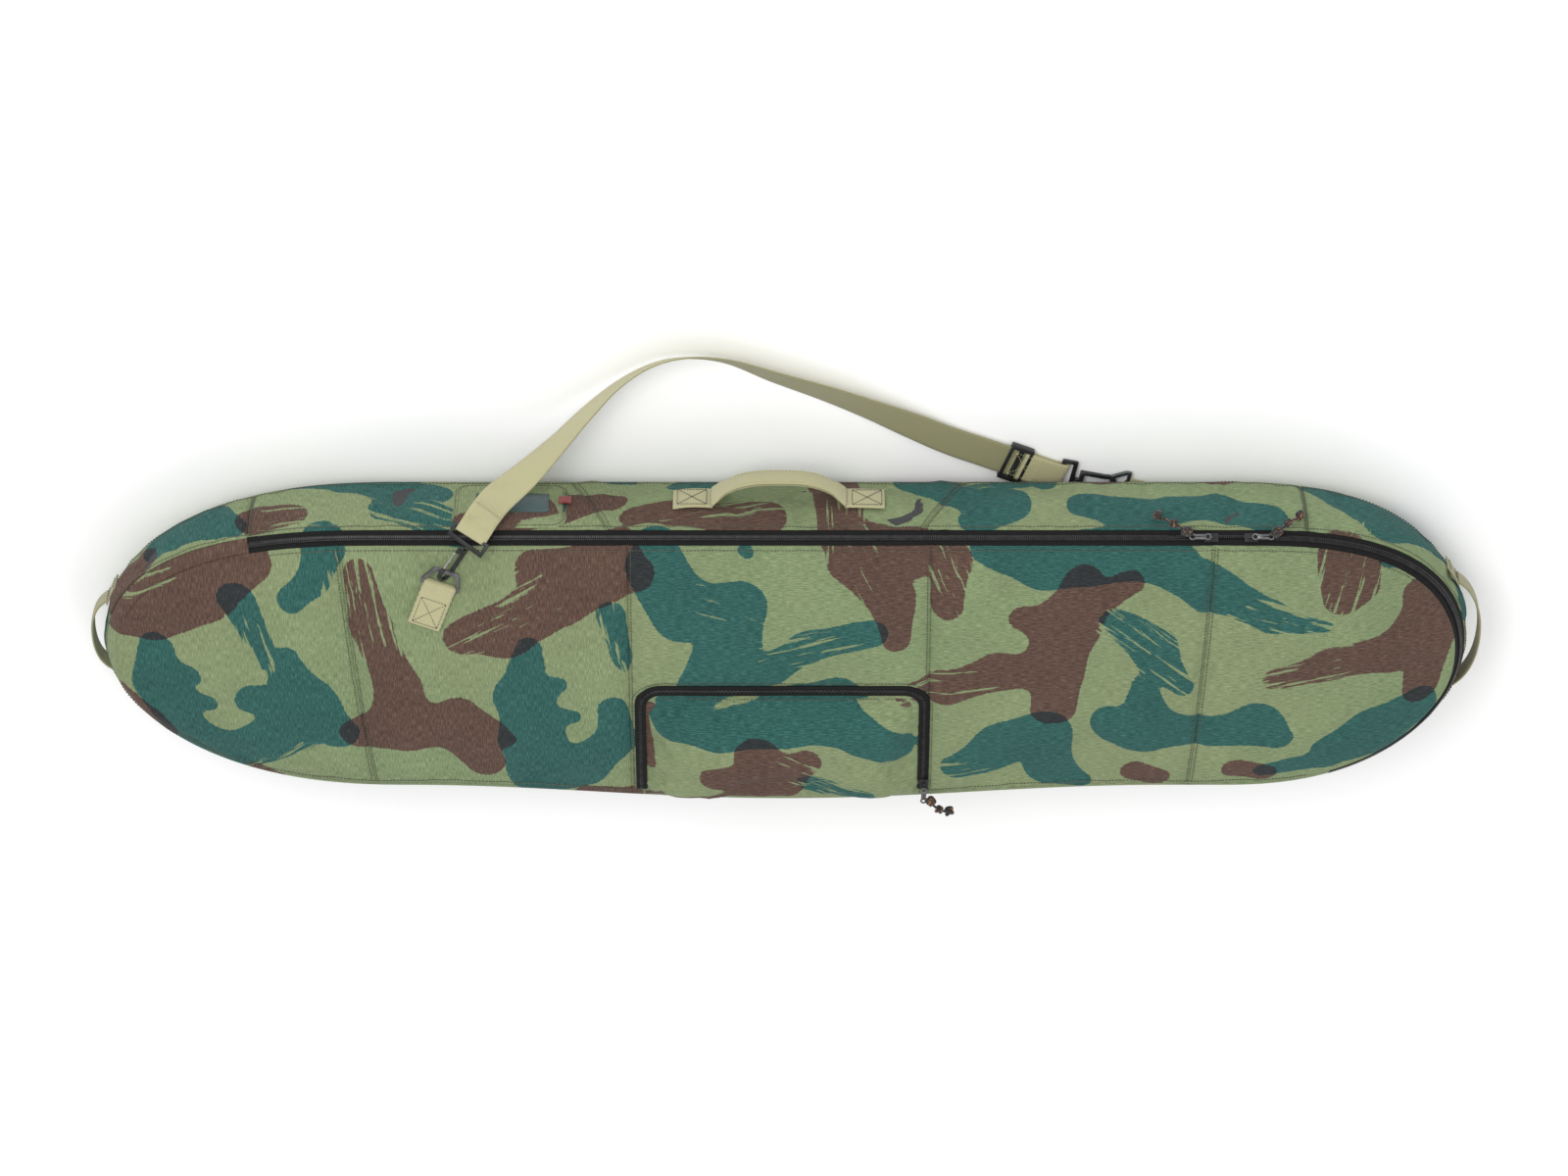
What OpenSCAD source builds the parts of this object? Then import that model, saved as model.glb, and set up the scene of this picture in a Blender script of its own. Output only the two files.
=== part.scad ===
// Padded snowboard bag: long rounded shell, peel-back front, zipped front pocket,
// clip-on shoulder strap, grab handles and a window pocket for a name card.
// +X runs along the bag, +Y towards the carry handle, +Z out of the front. The back lies at z = 0.

/* [Shell] */
// Half of the bag's length at the seams
half_len = 792; // [760:1:840]
// Half width on the carry handle's side
half_top = 184; // [176:1:192]
// Half width on the pocket's side, before the belly
half_bottom = 176; // [168:1:182]
// How far the pocket's side bellies out at mid length
belly = 20; // [10:1:24]
// Height of the front seam above the floor
seam_h = 136; // [128:1:144]
// Height of the back seam above the floor
back_h = 18; // [12:1:22]
// How far the front crowns above its seam
crown = 22; // [16:1:24]
// How far the side wall bows out
bow = 8; // [5:1:9]

/* [Layers] */
// Outer fabric with its backing
cloth_t = 1.5; // [1:0.1:2]
// Closed-cell foam
foam_t = 6; // [4:0.5:7]
// Lining
lining_t = 1; // [0.6:0.1:1.2]

/* [Zips and seams] */
// Width of the seam strip on each side of a corner
inset = 10; // [9:0.5:11]
// Thickness of zip tape and binding
tape_t = 1.5; // [1:0.1:1.8]

/* [Pocket] */
// Left edge of the pocket
pocket_x0 = -166; // [-175:1:-150]
// Right edge of the pocket
pocket_x1 = 158; // [140:1:164]
// How far the filled pocket stands out
pocket_rise = 30; // [20:1:32]

/* [Webbing] */
// Width of all the webbing
web_w = 38; // [36:1:39]
// Thickness of the webbing
web_t = 2.4; // [1.8:0.1:2.6]

/* [Hidden] */
taper_left = 450;
taper_right = 520;
tip_drop = 34;
back_tip = 16;
layer_gap = 1;
foam_in = cloth_t + layer_gap;
inner_t = foam_in + foam_t;
full_t = inner_t + lining_t;
patch_x = half_len - inset - 5;
zip_x0 = -619;
zip_x1 = 600;
fold_a = [-280, half_top - inset];
fold_b = [640, -154];
fold_gap = 1.5;
fold_slope = (fold_b.y - fold_a.y) / (fold_b.x - fold_a.x);
tip_angle = 68;
pocket_top = -16;
pocket_hem = -182;
seam_a = -500;
seam_b = -182;
seam_c = 167;
seam_d = 485;
cord_d = 3;
fabric = [0.46, 0.55, 0.38];
teal = [0.16, 0.33, 0.29];
foam_c = [0.25, 0.25, 0.26];
lining_c = [0.35, 0.36, 0.36];
black = [0.06, 0.06, 0.07];
khaki = [0.72, 0.71, 0.5];
metal = [0.2, 0.2, 0.22];

// ---- outline ----
// Share of the way from the straight part to the tip
function taper(x) = let (t = x < 0 ? taper_left : taper_right) max(0, min(1, (abs(x) - t) / (half_len - t)));
function bell(x) = abs(x) < taper_left ? pow(cos(90 * x / taper_left), 2) : 0;
function half_w(x, s) = (s < 0 ? half_bottom : half_top) * sqrt(max(0, 1 - pow(taper(x), 2.5)))
    + (s < 0 ? belly * bell(x) : 0);
function front_z(x) = seam_h - tip_drop * pow(taper(x), 2);
function back_z(x) = back_h + back_tip * pow(taper(x), 2);
function unit(v) = v / norm(v);

// ---- surfaces: r runs from -1 at the pocket's side to 1 at the handle's side ----
function front_up(x, r) = front_z(x)
    + crown * (1 - pow(min(1, abs(r)), 2.5)) * sqrt(half_w(x, 1) / half_top);
function front_pt(x, r, d) = [x, r * half_w(x, r), front_up(x, r) - d];
function front_at(x, y) = front_up(x, y / max(1, half_w(x, y)));
function back_up(x, r) = let (q = pow(taper(x), 4), e = max(0, min(1, abs(r)) - 0.4) / 0.6)
    back_z(x) * (pow(e, 1.8) * (1 - q) + q);
function back_pt(x, r, d) = [x, r * half_w(x, r), back_up(x, r) + d];
// The panels end a constant way inside the outline, measured square to it
function edge_r(x, s) = let (k = (half_w(x + 1, s) - half_w(x - 1, s)) / 2)
    s * (1 - inset * sqrt(1 + k * k) / half_w(x, s));

// ---- rails: plan points on the outline, each with its outward normal ----
function side_rail(xs, s) = [for (x = xs)
    let (k = (half_w(x + 1, s) - half_w(x - 1, s)) / 2, n = unit([-k, s])) [[x, s * half_w(x, s)], [n.x,
        n.y]]];
function tip_pt(s, a) = let (t = s < 0 ? taper_left : taper_right)
    [s * (t + (half_len - t) * pow(max(0, cos(a)), 0.8)), (a < 0 ? half_bottom : half_top) * sin(a)];
function tip_rail(s, angles) = [for (a = angles)
    let (v = tip_pt(s, min(89.9, a + 0.5)) - tip_pt(s, max(-89.9, a - 0.5)), n = unit([v.y, -v.x]) * s)
    [tip_pt(s, a), n]];
function steps(a, b, n) = [for (i = [0:n]) a + (b - a) * i / n];
function tip_angle_at(x) = acos(pow(taper(x), 1.25));

// A point of the side wall: z_in is the height above or below the seam that h = 0 or 1 stands for
function wall_pt(rail, h, d) = let (p = rail[0], n = rail[1], z0 = back_z(p.x) + inset, z1 = front_z(p.x)
    - inset,
    z = z0 + (z1 - z0) * h, k = (z - back_z(p.x)) / (front_z(p.x) - back_z(p.x)),
        q = p + n * (bow * 4 * k * (1 - k) - d))
    [q.x, q.y, z];
// The corner strip runs from k = 0 on the front to k = 1 on the wall, d below its face
function strip_pt(rail, k, d) = let (p = rail[0], n = rail[1], a2 = p - n * inset,
    a = [a2.x, a2.y, front_at(a2.x, a2.y)], b = wall_pt(rail, 1, 0), t = unit(b - a), o = [n.x, n.y, 0],
    up = unit(cross(t, cross([0, 0, 1], o)))) a + (b - a) * k - (up.z < 0 ? -up : up) * d;
function back_strip_pt(rail, k, d) = let (p = rail[0], n = rail[1], a2 = p - n * inset,
    a = [a2.x, a2.y, back_up(a2.x, a2.y / max(1, half_w(a2.x, a2.y)))], b = wall_pt(rail, 0, 0))
    a + (b - a) * k + [-n.x, -n.y, 1] * d * 0.7;

// ---- closed slab between two grids of points ----
module slab(p, q) {
    nu = len(p);
    nv = len(p[0]);
    n = nu * nv;
    out = cross(p[1][1] - p[0][1], p[1][1] - p[1][0]) * (p[1][1] - q[1][1]) > 0;
    top = [for (i = [0:nu - 2]) for (j = [0:nv - 2]) let (a = i * nv + j)
        each [[a, a + 1, a + nv + 1], [a, a + nv + 1, a + nv]]];
    low = [for (f = top) [f[0] + n, f[2] + n, f[1] + n]];
    side_v = [for (i = [0:nu - 2]) let (a = i * nv, b = a + nv, c = a + nv - 1, d = b + nv - 1)
        each [[a, b, b + n], [a, b + n, a + n], [d, c, c + n], [d, c + n, d + n]]];
    side_u = [for (j = [0:nv - 2]) let (a = j, b = j + 1, c = (nu - 1) * nv + j, d = c + 1)
        each [[a, a + n, b + n], [a, b + n, b], [d, d + n, c + n], [d, c + n, c]]];
    faces = concat(top, low, side_v, side_u);
    polyhedron([for (row = p) each row, for (row = q) each row],
        out ? faces : [for (f = faces) [f[2], f[1], f[0]]]);
}
module front_patch(xs, r0, r1, n, d0, d1) {
    grid = function (d) [for (x = xs) [for (k = [0:n]) front_pt(x, r0(x) + (r1(x) - r0(x)) * k / n, d)]];
    slab(grid(d0), grid(d1));
}
module back_patch(d0, d1) {
    xs = concat(steps(-patch_x, -taper_left, 8), [-300, -60, 160, 300], steps(taper_right, patch_x, 8));
    grid = function (d) [for (x = xs) [for (r = [-1, -0.92, -0.82, -0.7, -0.56, -0.4, 0.4, 0.56, 0.7,
        0.82, 0.92, 1])
        back_pt(x, abs(r) * edge_r(x, r < 0 ? -1 : 1), d)]];
    slab(grid(d0), grid(d1));
}
module wall_patch(rail, d0, d1, n = 5) {
    grid = function (d) [for (s = rail) [for (k = [0:n]) wall_pt(s, k / n, d)]];
    slab(grid(d0), grid(d1));
}
module strip(rail, k0, k1, d0, d1) {
    slab([for (s = rail) [strip_pt(s, k0, d0), strip_pt(s, k1, d0)]],
        [for (s = rail) [strip_pt(s, k0, d1), strip_pt(s, k1, d1)]]);
}
// Swept webbing: route rows are [point, width direction]
module ribbon(rows, w, t) {
    n = len(rows);
    dir = function (i) unit(rows[min(n - 1, i + 1)][0] - rows[max(0, i - 1)][0]);
    side = function (i) let (d = dir(i), v = rows[i][1]) unit(v - d * (v * d));
    grid = function (h) [for (i = [0:n - 1]) let (s = side(i), m = cross(dir(i), s))
        [rows[i][0] - s * w / 2 + m * h, rows[i][0] + s * w / 2 + m * h]];
    slab(grid(t / 2), grid(-t / 2));
}
function spline(p, i, t) = let (n = len(p) - 1, a = p[max(0, i - 1)], b = p[i], c = p[min(n, i + 1)],
    d = p[min(n, i + 2)]) 0.5 * (2 * b + (c - a) * t + (2 * a - 5 * b + 4 * c - d) * t * t
    + (3 * b - a - 3 * c + d) * t * t * t);
function smooth(p, m) = [for (i = [0:len(p) - 2]) for (k = [0:m - 1]) spline(p, i, k / m), p[len(p) - 1]];
// Swept round cord with eight sides
module cord(route, d) {
    p = smooth(route, 2);
    n = len(p);
    dir = function (i) unit(p[min(n - 1, i + 1)] - p[max(0, i - 1)]);
    ring = function (i) let (t = dir(i), u = unit(cross(t, [0.12, 0.1, 1])), v = cross(t, u))
        [for (k = [0:7]) p[i] + (u * cos(45 * k) + v * sin(45 * k)) * d / 2];
    pts = [for (i = [0:n - 1]) each ring(i)];
    tube = [for (i = [0:n - 2]) for (k = [0:7]) let (a = i * 8 + k, b = i * 8 + (k + 1) % 8)
        each [[a, a + 8, b + 8], [a, b + 8, b]]];
    caps = [[for (k = [0:7]) k], [for (k = [7:-1:0]) (n - 1) * 8 + k]];
    polyhedron(pts, concat(tube, caps));
}

// ---- back and side walls ----
top_xs = function (a, b, n) side_rail(steps(a, b, n), 1);
left_angles = steps(tip_angle_at(zip_x0), -tip_angle_at(zip_x0), 22);
right_angles = steps(tip_angle_at(zip_x1), -tip_angle_at(zip_x1), 22);
bottom_rail = side_rail(steps(zip_x0, zip_x1, 28), -1);
module back_panel() color(teal) back_patch(0, cloth_t);
module back_foam() color(foam_c) back_patch(foam_in, inner_t);
module back_lining() color(lining_c) back_patch(inner_t, full_t);
module gusset_top_left() color(teal) wall_patch(top_xs(zip_x0, -225, 10), 0, cloth_t);
module gusset_top_centre() color(fabric) wall_patch(top_xs(-225, 182, 3), 0, cloth_t);
module gusset_top_right() color(teal) wall_patch(top_xs(182, zip_x1, 8), 0, cloth_t);
module gusset_bottom() color(fabric) wall_patch(bottom_rail, 0, cloth_t);
module gusset_left_end() color(teal) wall_patch(tip_rail(-1, left_angles), 0, cloth_t);
module gusset_right_end() color(teal) wall_patch(tip_rail(1, right_angles), 0, cloth_t);
function inner(list) = [for (i = [1:len(list) - 2]) list[i]];
// One rail round the whole outline, which stops a hair short of where it starts
function round_rail(side_n, tip_n) = concat(
    tip_rail(-1, steps(left_angles[0], -left_angles[0], tip_n)),
    inner(side_rail(steps(zip_x0, zip_x1, side_n), -1)),
    tip_rail(1, steps(-right_angles[0], right_angles[0], tip_n)),
    inner(side_rail(steps(zip_x1, zip_x0, side_n), 1)), side_rail([zip_x0 + 1], 1));
module wall_layer(d0, d1) wall_patch(round_rail(14, 14), d0, d1, 4);
module gusset_foam() color(foam_c) wall_layer(foam_in + 0.5, inner_t);
module gusset_lining() color(lining_c) wall_layer(inner_t, full_t);

// ---- front: the root part lies below the fold line, the flap above it ----
function fold_y(x) = fold_a.y + (x - fold_a.x) * fold_slope;
function fold_r(x, g) = let (y = fold_y(x) + g) y / half_w(x, y);
low_r = function (x) edge_r(x, -1);
high_r = function (x) edge_r(x, 1);
root_r = function (x) x <= fold_a.x ? edge_r(x, 1) : min(edge_r(x, 1), fold_r(x, -fold_gap));
flap_r = function (x) x >= fold_b.x ? edge_r(x, -1) : max(edge_r(x, -1), fold_r(x, fold_gap));
fold_x0 = -250;
fold_x1 = 605;
module front_panel_left() color(teal)
    front_patch(steps(-patch_x, seam_a, 12), low_r, high_r, 12, 0, cloth_t);
module front_panel_mid_left() color(fabric)
    front_patch(concat(steps(seam_a, fold_a.x, 4), [-250, -215, seam_b]), low_r, root_r, 12, 0, cloth_t);
module front_panel_centre() color(fabric)
    front_patch(steps(seam_b, seam_c, 6), low_r, root_r, 10, 0, cloth_t);
module front_panel_mid_right() color(fabric)
    front_patch(steps(seam_c, fold_x1, 8), low_r, root_r, 5, 0, cloth_t);
module root_layer(d0, d1) front_patch(concat(steps(-patch_x, seam_a, 10), steps(-430, fold_a.x, 2),
    steps(-200, fold_x1, 8)), low_r, root_r, 10, d0, d1);
module front_foam() color(foam_c) root_layer(foam_in, inner_t);
module front_lining() color(lining_c) root_layer(inner_t, full_t);
module flap_panel_mid_left() color(fabric)
    front_patch(steps(fold_x0, seam_b, 3), flap_r, high_r, 4, 0, cloth_t);
module flap_panel_centre() color(teal)
    front_patch(steps(seam_b, seam_c, 6), flap_r, high_r, 8, 0, cloth_t);
module flap_panel_mid_right() color(fabric)
    front_patch(steps(seam_c, seam_d, 6), flap_r, high_r, 12, 0, cloth_t);
module flap_panel_right() color(teal)
    front_patch(concat(steps(seam_d, fold_b.x, 5), steps(660, patch_x, 8)), flap_r, high_r, 12, 0, cloth_t);
module flap_layer(d0, d1) front_patch(concat(steps(fold_x0 + 25, taper_right, 8), steps(560, fold_b.x, 2),
    steps(670, patch_x, 7)), flap_r, high_r, 10, d0, d1);
module flap_foam() color(foam_c) flap_layer(foam_in, inner_t);
module flap_lining() color(lining_c) flap_layer(inner_t, full_t);

// ---- corner strips: binding, zip tapes and coils; they stand clear of the panels' edges ----
strip_k0 = 0.16;
strip_k1 = 0.85;
back_k0 = 0.28;
coil_gap = 0.3;
zip_top = side_rail(concat(steps(zip_x0, -taper_left, 7), [-250, 0, 250], steps(450, zip_x1, 6)), 1);
zip_tip = tip_rail(1, steps(tip_angle_at(zip_x1), -tip_angle, 20));
zip_run = concat(zip_top, [for (i = [1:len(zip_tip) - 1]) zip_tip[i]]);
module front_binding() color(teal)
    strip(concat(tip_rail(-1, left_angles), inner(side_rail(steps(zip_x0, fold_b.x, 22), -1))), strip_k0,
        strip_k1, 0, tape_t);
module back_binding() color(teal) {
    rail = round_rail(18, 18);
    slab([for (s = rail) [back_strip_pt(s, back_k0, 0), back_strip_pt(s, strip_k1, 0)]],
        [for (s = rail) [back_strip_pt(s, back_k0, tape_t), back_strip_pt(s, strip_k1, tape_t)]]);
}
module zip_tape_gusset() color(black) {
    strip(zip_run, 0.52, strip_k1, 0, tape_t);
    strip(side_rail(steps(zip_x0, fold_x0 - 12, 8), 1), strip_k0, 0.48, 0, tape_t);
}
module zip_coil_gusset() color(black) strip(zip_run, 0.53, 0.68, tape_t + coil_gap, tape_t + 2);
// The flap's tape is left open where the closed sliders stand
slider_gap = [466, 556];
module flap_strip(k0, k1, d0, d1) {
    strip(side_rail([fold_x0 + 12, 0, 250, slider_gap[0]], 1), k0, k1, d0, d1);
    strip(concat(side_rail([slider_gap[1], 580], 1), zip_tip), k0, k1, d0, d1);
}
module zip_tape_flap() color(black) flap_strip(strip_k0, 0.48, 0, tape_t);
module zip_coil_flap() color(black) flap_strip(0.32, 0.47, tape_t + coil_gap, tape_t + 2);

// ---- sliders with their pulls; the plate stands a hair above the tape ----
zip_mid = strip_pt(side_rail([0], 1)[0], 0.5, 0);
slider_x = [488, 534];
lift = 0.5;
module on_zip(x) translate([x, zip_mid.y, zip_mid.z]) rotate([-45, 0, 0]) children();
module slider_body() {
    translate([-8, -5, lift]) cube([16, 10, 2.4]);
    translate([-5, -1.2, lift + 2.4]) cube([2, 2.4, 3]);
    translate([3, -1.2, lift + 2.4]) cube([2, 2.4, 3]);
    translate([-5, -1.2, lift + 5]) cube([10, 2.4, 1.2]);
}
module slider_left() color(black) on_zip(slider_x[0]) slider_body();
module slider_right() color(black) on_zip(slider_x[1]) slider_body();
// A flat pull with an eye, lying towards +X from its bail
module pull_body() difference() {
    union() {
        translate([0, 0, 0]) cylinder(h = 1.4, r = 4, $fn = 32);
        translate([0, -3, 0]) cube([18, 6, 1.4]);
        translate([18, 0, 0]) cylinder(h = 1.4, r = 4, $fn = 32);
    }
    translate([0, 0, -1]) cylinder(h = 4, r = 2.2, $fn = 32);
    translate([18, 0, -1]) cylinder(h = 4, r = 2.2, $fn = 32);
}
pull_z = lift + 6.6;
module pull_left() color(metal) on_zip(slider_x[0] - 4) translate([0, 0, pull_z]) rotate([0, 0, 180])
    pull_body();
module pull_right() color(metal) on_zip(slider_x[1] + 4) translate([0, 0, pull_z]) pull_body();
// Cord pulls, from the eye of each pull
left_cord = [[466, 190, 140], [460, 193, 139], [452, 197, 136], [444, 199, 130], [437, 199, 124], [431,
    199, 118],
    [426, 199, 112]];
right_cord = [[556, 190, 140], [562, 191, 138], [569, 195, 133], [576, 197, 127], [582, 197, 121], [588,
    197, 115],
    [592, 196, 109]];
pocket_cord_route = [[170, -178, 151], [171.5, -183, 153], [174, -188, 154], [178, -193, 153], [182,
    -198, 151],
    [186, -202, 148], [190, -205, 145.5], [193, -207, 143], [196, -208, 140.5]];
module cord_left() color(black) cord(left_cord, cord_d);
module cord_right() color(black) cord(right_cord, cord_d);

// ---- pocket: a domed panel over the front, hinged at its hem, zipped on three sides ----
pocket_mid = (pocket_x0 + pocket_x1) / 2;
function pocket_bulge(x, y) = pocket_rise * (1 - pow(abs((x - pocket_mid) / (pocket_x1 - pocket_x0) * 2), 6))
    * (1 - pow(max(0, (y - pocket_hem) / (pocket_top - pocket_hem)), 5))
    * (1 - pow(max(0, 1 - (y - pocket_hem) / 22), 2));
function pocket_pt(x, y, d) = [x, y, front_at(x, y) + 2 + pocket_bulge(x, y) - d];
module pocket_panel() color(fabric) {
    ys = [pocket_hem, -180, -177, -172, -166, -158, -140, -110, -80, -55, -40, -29, -21, pocket_top];
    xs = [for (k = [-9:9]) pocket_mid + (pocket_x1 - pocket_x0) / 2 * sin(10 * k)];
    grid = function (d) [for (x = xs) [for (y = ys) pocket_pt(x, y, d)]];
    slab(grid(0), grid(cloth_t));
}
pocket_reach = [[pocket_x0 - 4.5, -168], [pocket_x0 - 4.5, pocket_top + 1.5], [pocket_x0 - 1.5,
    pocket_top + 4.5],
    [pocket_x1 + 1.5, pocket_top + 4.5], [pocket_x1 + 4.5, pocket_top + 1.5], [pocket_x1 + 4.5, -168]];
module pocket_run(w, d0, d1) {
    legs = [for (i = [0, 1, 2, 3, 4]) steps(0, 1, i == 2 ? 8 : i % 2 == 1 ? 2 : 6)];
    for (i = [0:4]) {
        a = pocket_reach[i];
        b = pocket_reach[i + 1];
        side = unit([b.y - a.y, a.x - b.x]) * w / 2;
        grid = function (d) [for (t = legs[i]) let (p = a + (b - a) * t)
            [for (s = [-1, 1]) let (q = p + side * s) [q.x, q.y, front_at(q.x, q.y) + d]]];
        slab(grid(d1), grid(d0));
    }
}
module pocket_zip_tape() color(black) pocket_run(7, 0.1, 1.3);
module pocket_zip_coil() color(black) pocket_run(2.4, 1.3, 2.2);
pocket_zip_angle = 8.6;
pocket_slider_at = [pocket_x1 + 5.3, -160, 146.5];
module on_pocket_zip() translate(pocket_slider_at) rotate([pocket_zip_angle, 0, 0]) rotate([0, 0, 90])
    children();
module pocket_slider() color(black) on_pocket_zip() translate([0, 0, 1.6]) slider_body();
module pocket_pull() color(metal) on_pocket_zip() translate([-4, 0, pull_z + 2.2]) rotate([0, 0, 180])
    pull_body();
module pocket_cord() color(black) cord(pocket_cord_route, cord_d);

// ---- carry handle: a webbing arch on the handle's side, between two sewn tabs ----
handle_x = [-128, 112];
handle_z = 77;
module carry_handle() color(khaki) {
    mid = (handle_x[0] + handle_x[1]) / 2;
    span = (handle_x[1] - handle_x[0]) / 2 - 42;
    rows = [for (k = [0:16]) let (t = k / 8 - 1)
        [[mid + span * t, 199.5 + 27 * (1 - pow(abs(t), 3)), handle_z], [0, 0, 1]]];
    ribbon(rows, 26, 4);
}
module carry_handle_tabs() color(khaki) for (x = [handle_x[0], handle_x[1] - 40])
    translate([x, 192.3, handle_z - 19]) cube([40, 2, web_w]);
// ---- end handles: short webbing arches across each tip, set off from the side wall ----
end_z = 62;
function tip_out(s, a, out) = let (rail = tip_rail(s, [a])[0], z0 = back_z(rail[0].x) + inset,
    z1 = front_z(rail[0].x) - inset) wall_pt(rail, (end_z - z0) / (z1 - z0), -out);
module end_arch(s, angle, reach) {
    rows = [for (k = [0:14]) let (t = k / 7 - 1) [tip_out(s, t * angle, 5 + reach * (1 - pow(t, 4))), [0,
        0, 1]]];
    ribbon(rows, 24, 3);
}
module end_handle_left() color(khaki) end_arch(-1, 13, 12);
module end_handle_right() color(khaki) end_arch(1, 21, 12);
module end_handle_tabs() color(khaki) for (tab = [[-1, -17.5], [-1, 17.5], [1, -26], [1, 26]])
    ribbon([for (t = [-1, 0, 1]) [tip_out(tab[0], tab[1] + t * 2.8, 1.4), [0, 0, 1]]], web_w - 6, 1.6);

// ---- strap hardware ----
ring_w = 4;
tab_w = web_w - 2;
hook_t = 4;
// D-ring: a flat trapezoid with its straight bar along X at the origin and its bow towards +Y
module d_ring(w, depth) {
    r = ring_w / 2;
    translate([0, 0, -r]) linear_extrude(height = ring_w) difference() {
        polygon([[-w / 2 - r, -r], [w / 2 + r, -r], [w / 2 + r, r + 3], [13 + r, depth + r], [-13 - r,
            depth + r],
            [-w / 2 - r, r + 3]]);
        polygon([[-w / 2 + r, r], [w / 2 - r, r], [w / 2 - r, r + 1], [12, depth - r], [-12, depth - r],
            [-w / 2 + r, r + 1]]);
    }
}
// Snap hook: swivel at the origin, eye centred 38 below it, shank on the right, gate on the left
eye_y = -38;
module snap_hook(t) {
    difference() {
        translate([0, eye_y, -t / 2]) cylinder(h = t, r = 13, $fn = 48);
        translate([0, eye_y, -t]) cylinder(h = 2 * t, r = 9.2, $fn = 48);
        translate([-20, eye_y + 4, -t]) cube([29.2, 20, 2 * t]);
        translate([-20, eye_y + 4, -t]) cube([40, 20, 2 * t]);
    }
    translate([8.5, eye_y + 3.9, -t / 2]) cube([4, 24.1, t]);
    translate([-6, eye_y + 28, -t / 2]) cube([18.5, 5, t]);
    translate([0, -5.5, 0]) rotate([-90, 0, 0]) cylinder(h = 5, r = t / 2, $fn = 32);
}
module hook_gate() {
    translate([-9.8, eye_y + 27, -1.2]) rotate([0, 0, 0]) cylinder(h = 2.4, r = 2, $fn = 24);
    translate([-11, eye_y + 5, -1]) cube([2, 22, 2]);
}
// Rectangular webbing loop above the swivel
module web_loop(t) {
    difference() {
        translate([-24, 0.4, -t / 2]) cube([48, 19, t]);
        translate([-20, 5.4, -t]) cube([40, 9.6, 2 * t]);
        translate([0, -1, 0]) rotate([-90, 0, 0]) cylinder(h = 0.8, r = t, $fn = 32);
    }
}
ring_eye_left = [-389, 151, 159];
hook_yaw = -34;
hook_pitch = -11.5;
hook_roll = 50;
loop_roll = -24;
ring_yaw = -22;
ring_pitch = 10;
ring_depth = 24;
hook_dir = [-sin(hook_yaw) * cos(hook_pitch), cos(hook_yaw) * cos(hook_pitch), sin(hook_pitch)];
swivel_left = ring_eye_left - hook_dir * eye_y;
module left_line(roll) translate(swivel_left) rotate([0, 0, hook_yaw]) rotate([hook_pitch, 0, 0])
    rotate([0, roll, 0]) children();
module left_ring_frame() translate(ring_eye_left) rotate([0, 0, ring_yaw]) rotate([ring_pitch, 0, 0])
    translate([0, -ring_depth, 0]) children();
module ring_left() color(metal) left_ring_frame() d_ring(42, ring_depth);
module hook_left() color(black) left_line(hook_roll) snap_hook(hook_t);
module gate_left() color(metal) left_line(hook_roll) hook_gate();
module strap_loop_left() color(black) left_line(loop_roll) web_loop(4);
module ring_tab_left() color(khaki) {
    left_ring_frame() difference() {
        rotate([0, 90, 0]) translate([0, 0, -tab_w / 2]) cylinder(h = tab_w, r = 4.6, $fn = 32);
        rotate([0, 90, 0]) translate([0, 0, -30]) cylinder(h = 60, r = 3.2, $fn = 32);
    }
    rows = [for (y = [-4.2, -14, -26, -38, -50]) let (a = ring_yaw,
        p = ring_eye_left - [-sin(a), cos(a), 0] * (ring_depth - y),
        z = max(front_at(p.x - 14, p.y), front_at(p.x + 14, p.y)) + 2.2)
        [[p.x, p.y, y > -5 ? z + 1 : z], [cos(a), sin(a), 0]]];
    ribbon(rows, tab_w, web_t);
}
// The far hook lies flat on the floor, tucked under the raised back edge
right_yaw = 78;
swivel_right = [337, 176, 4.4];
module right_line() translate(swivel_right) rotate([0, 0, right_yaw]) children();
module hook_right() color(black) right_line() snap_hook(4.6);
module gate_right() color(metal) right_line() hook_gate();
module strap_loop_right() color(black) right_line() web_loop(4);
module ring_right() color(metal) right_line() translate([0, eye_y - 24, 0]) rotate([4, 0, 0]) d_ring(42, 19);
module ring_tab_right() color(khaki) right_line() difference() {
    union() {
        translate([-16, eye_y - 42, 2.3]) cube([32, 16, 1.5]);
        rotate([0, 90, 0]) translate([0, eye_y - 24, -9]) cylinder(h = 18, r = 4.3, $fn = 32);
    }
    rotate([0, 90, 0]) translate([0, eye_y - 24, -30]) cylinder(h = 60, r = 3.5, $fn = 32);
}

// ---- shoulder strap: from the left loop down to the floor, along it, and back to the right loop ----
strap_route = [[-352, 205, 143], [-345, 210, 130], [-330, 216, 104], [-300, 228, 74], [-264, 254, 50],
    [-228, 288, 34], [-190, 322, 25], [-150, 346, 22], [-110, 354, 21], [-64, 348, 20], [-10, 326, 19],
    [50, 302, 17], [100, 278, 13], [146, 254, 9], [190, 231, 6], [230, 215, 6], [270, 199, 6], [311, 182, 6]];
strap_width = [[0.75, -0.51, 0.41], [0.73, -0.54, 0.44], [0.72, -0.48, 0.5], [0.68, -0.2, 0.71], [0.44,
    0.06, 0.89],
    [0.21, 0.14, 0.97], [0, 0.27, 0.96], [-0.06, 0.42, 0.9], [0.05, 0.54, 0.84], [0.17, 0.6, 0.78],
    [0.29, 0.7, 0.65], [0.34, 0.78, 0.53], [0.42, 0.82, 0.39], [0.45, 0.87, 0.17], [0.4, 0.92, 0.04],
    [0.38, 0.92, 0], [0.38, 0.92, 0], [0.38, 0.92, 0]];
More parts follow.
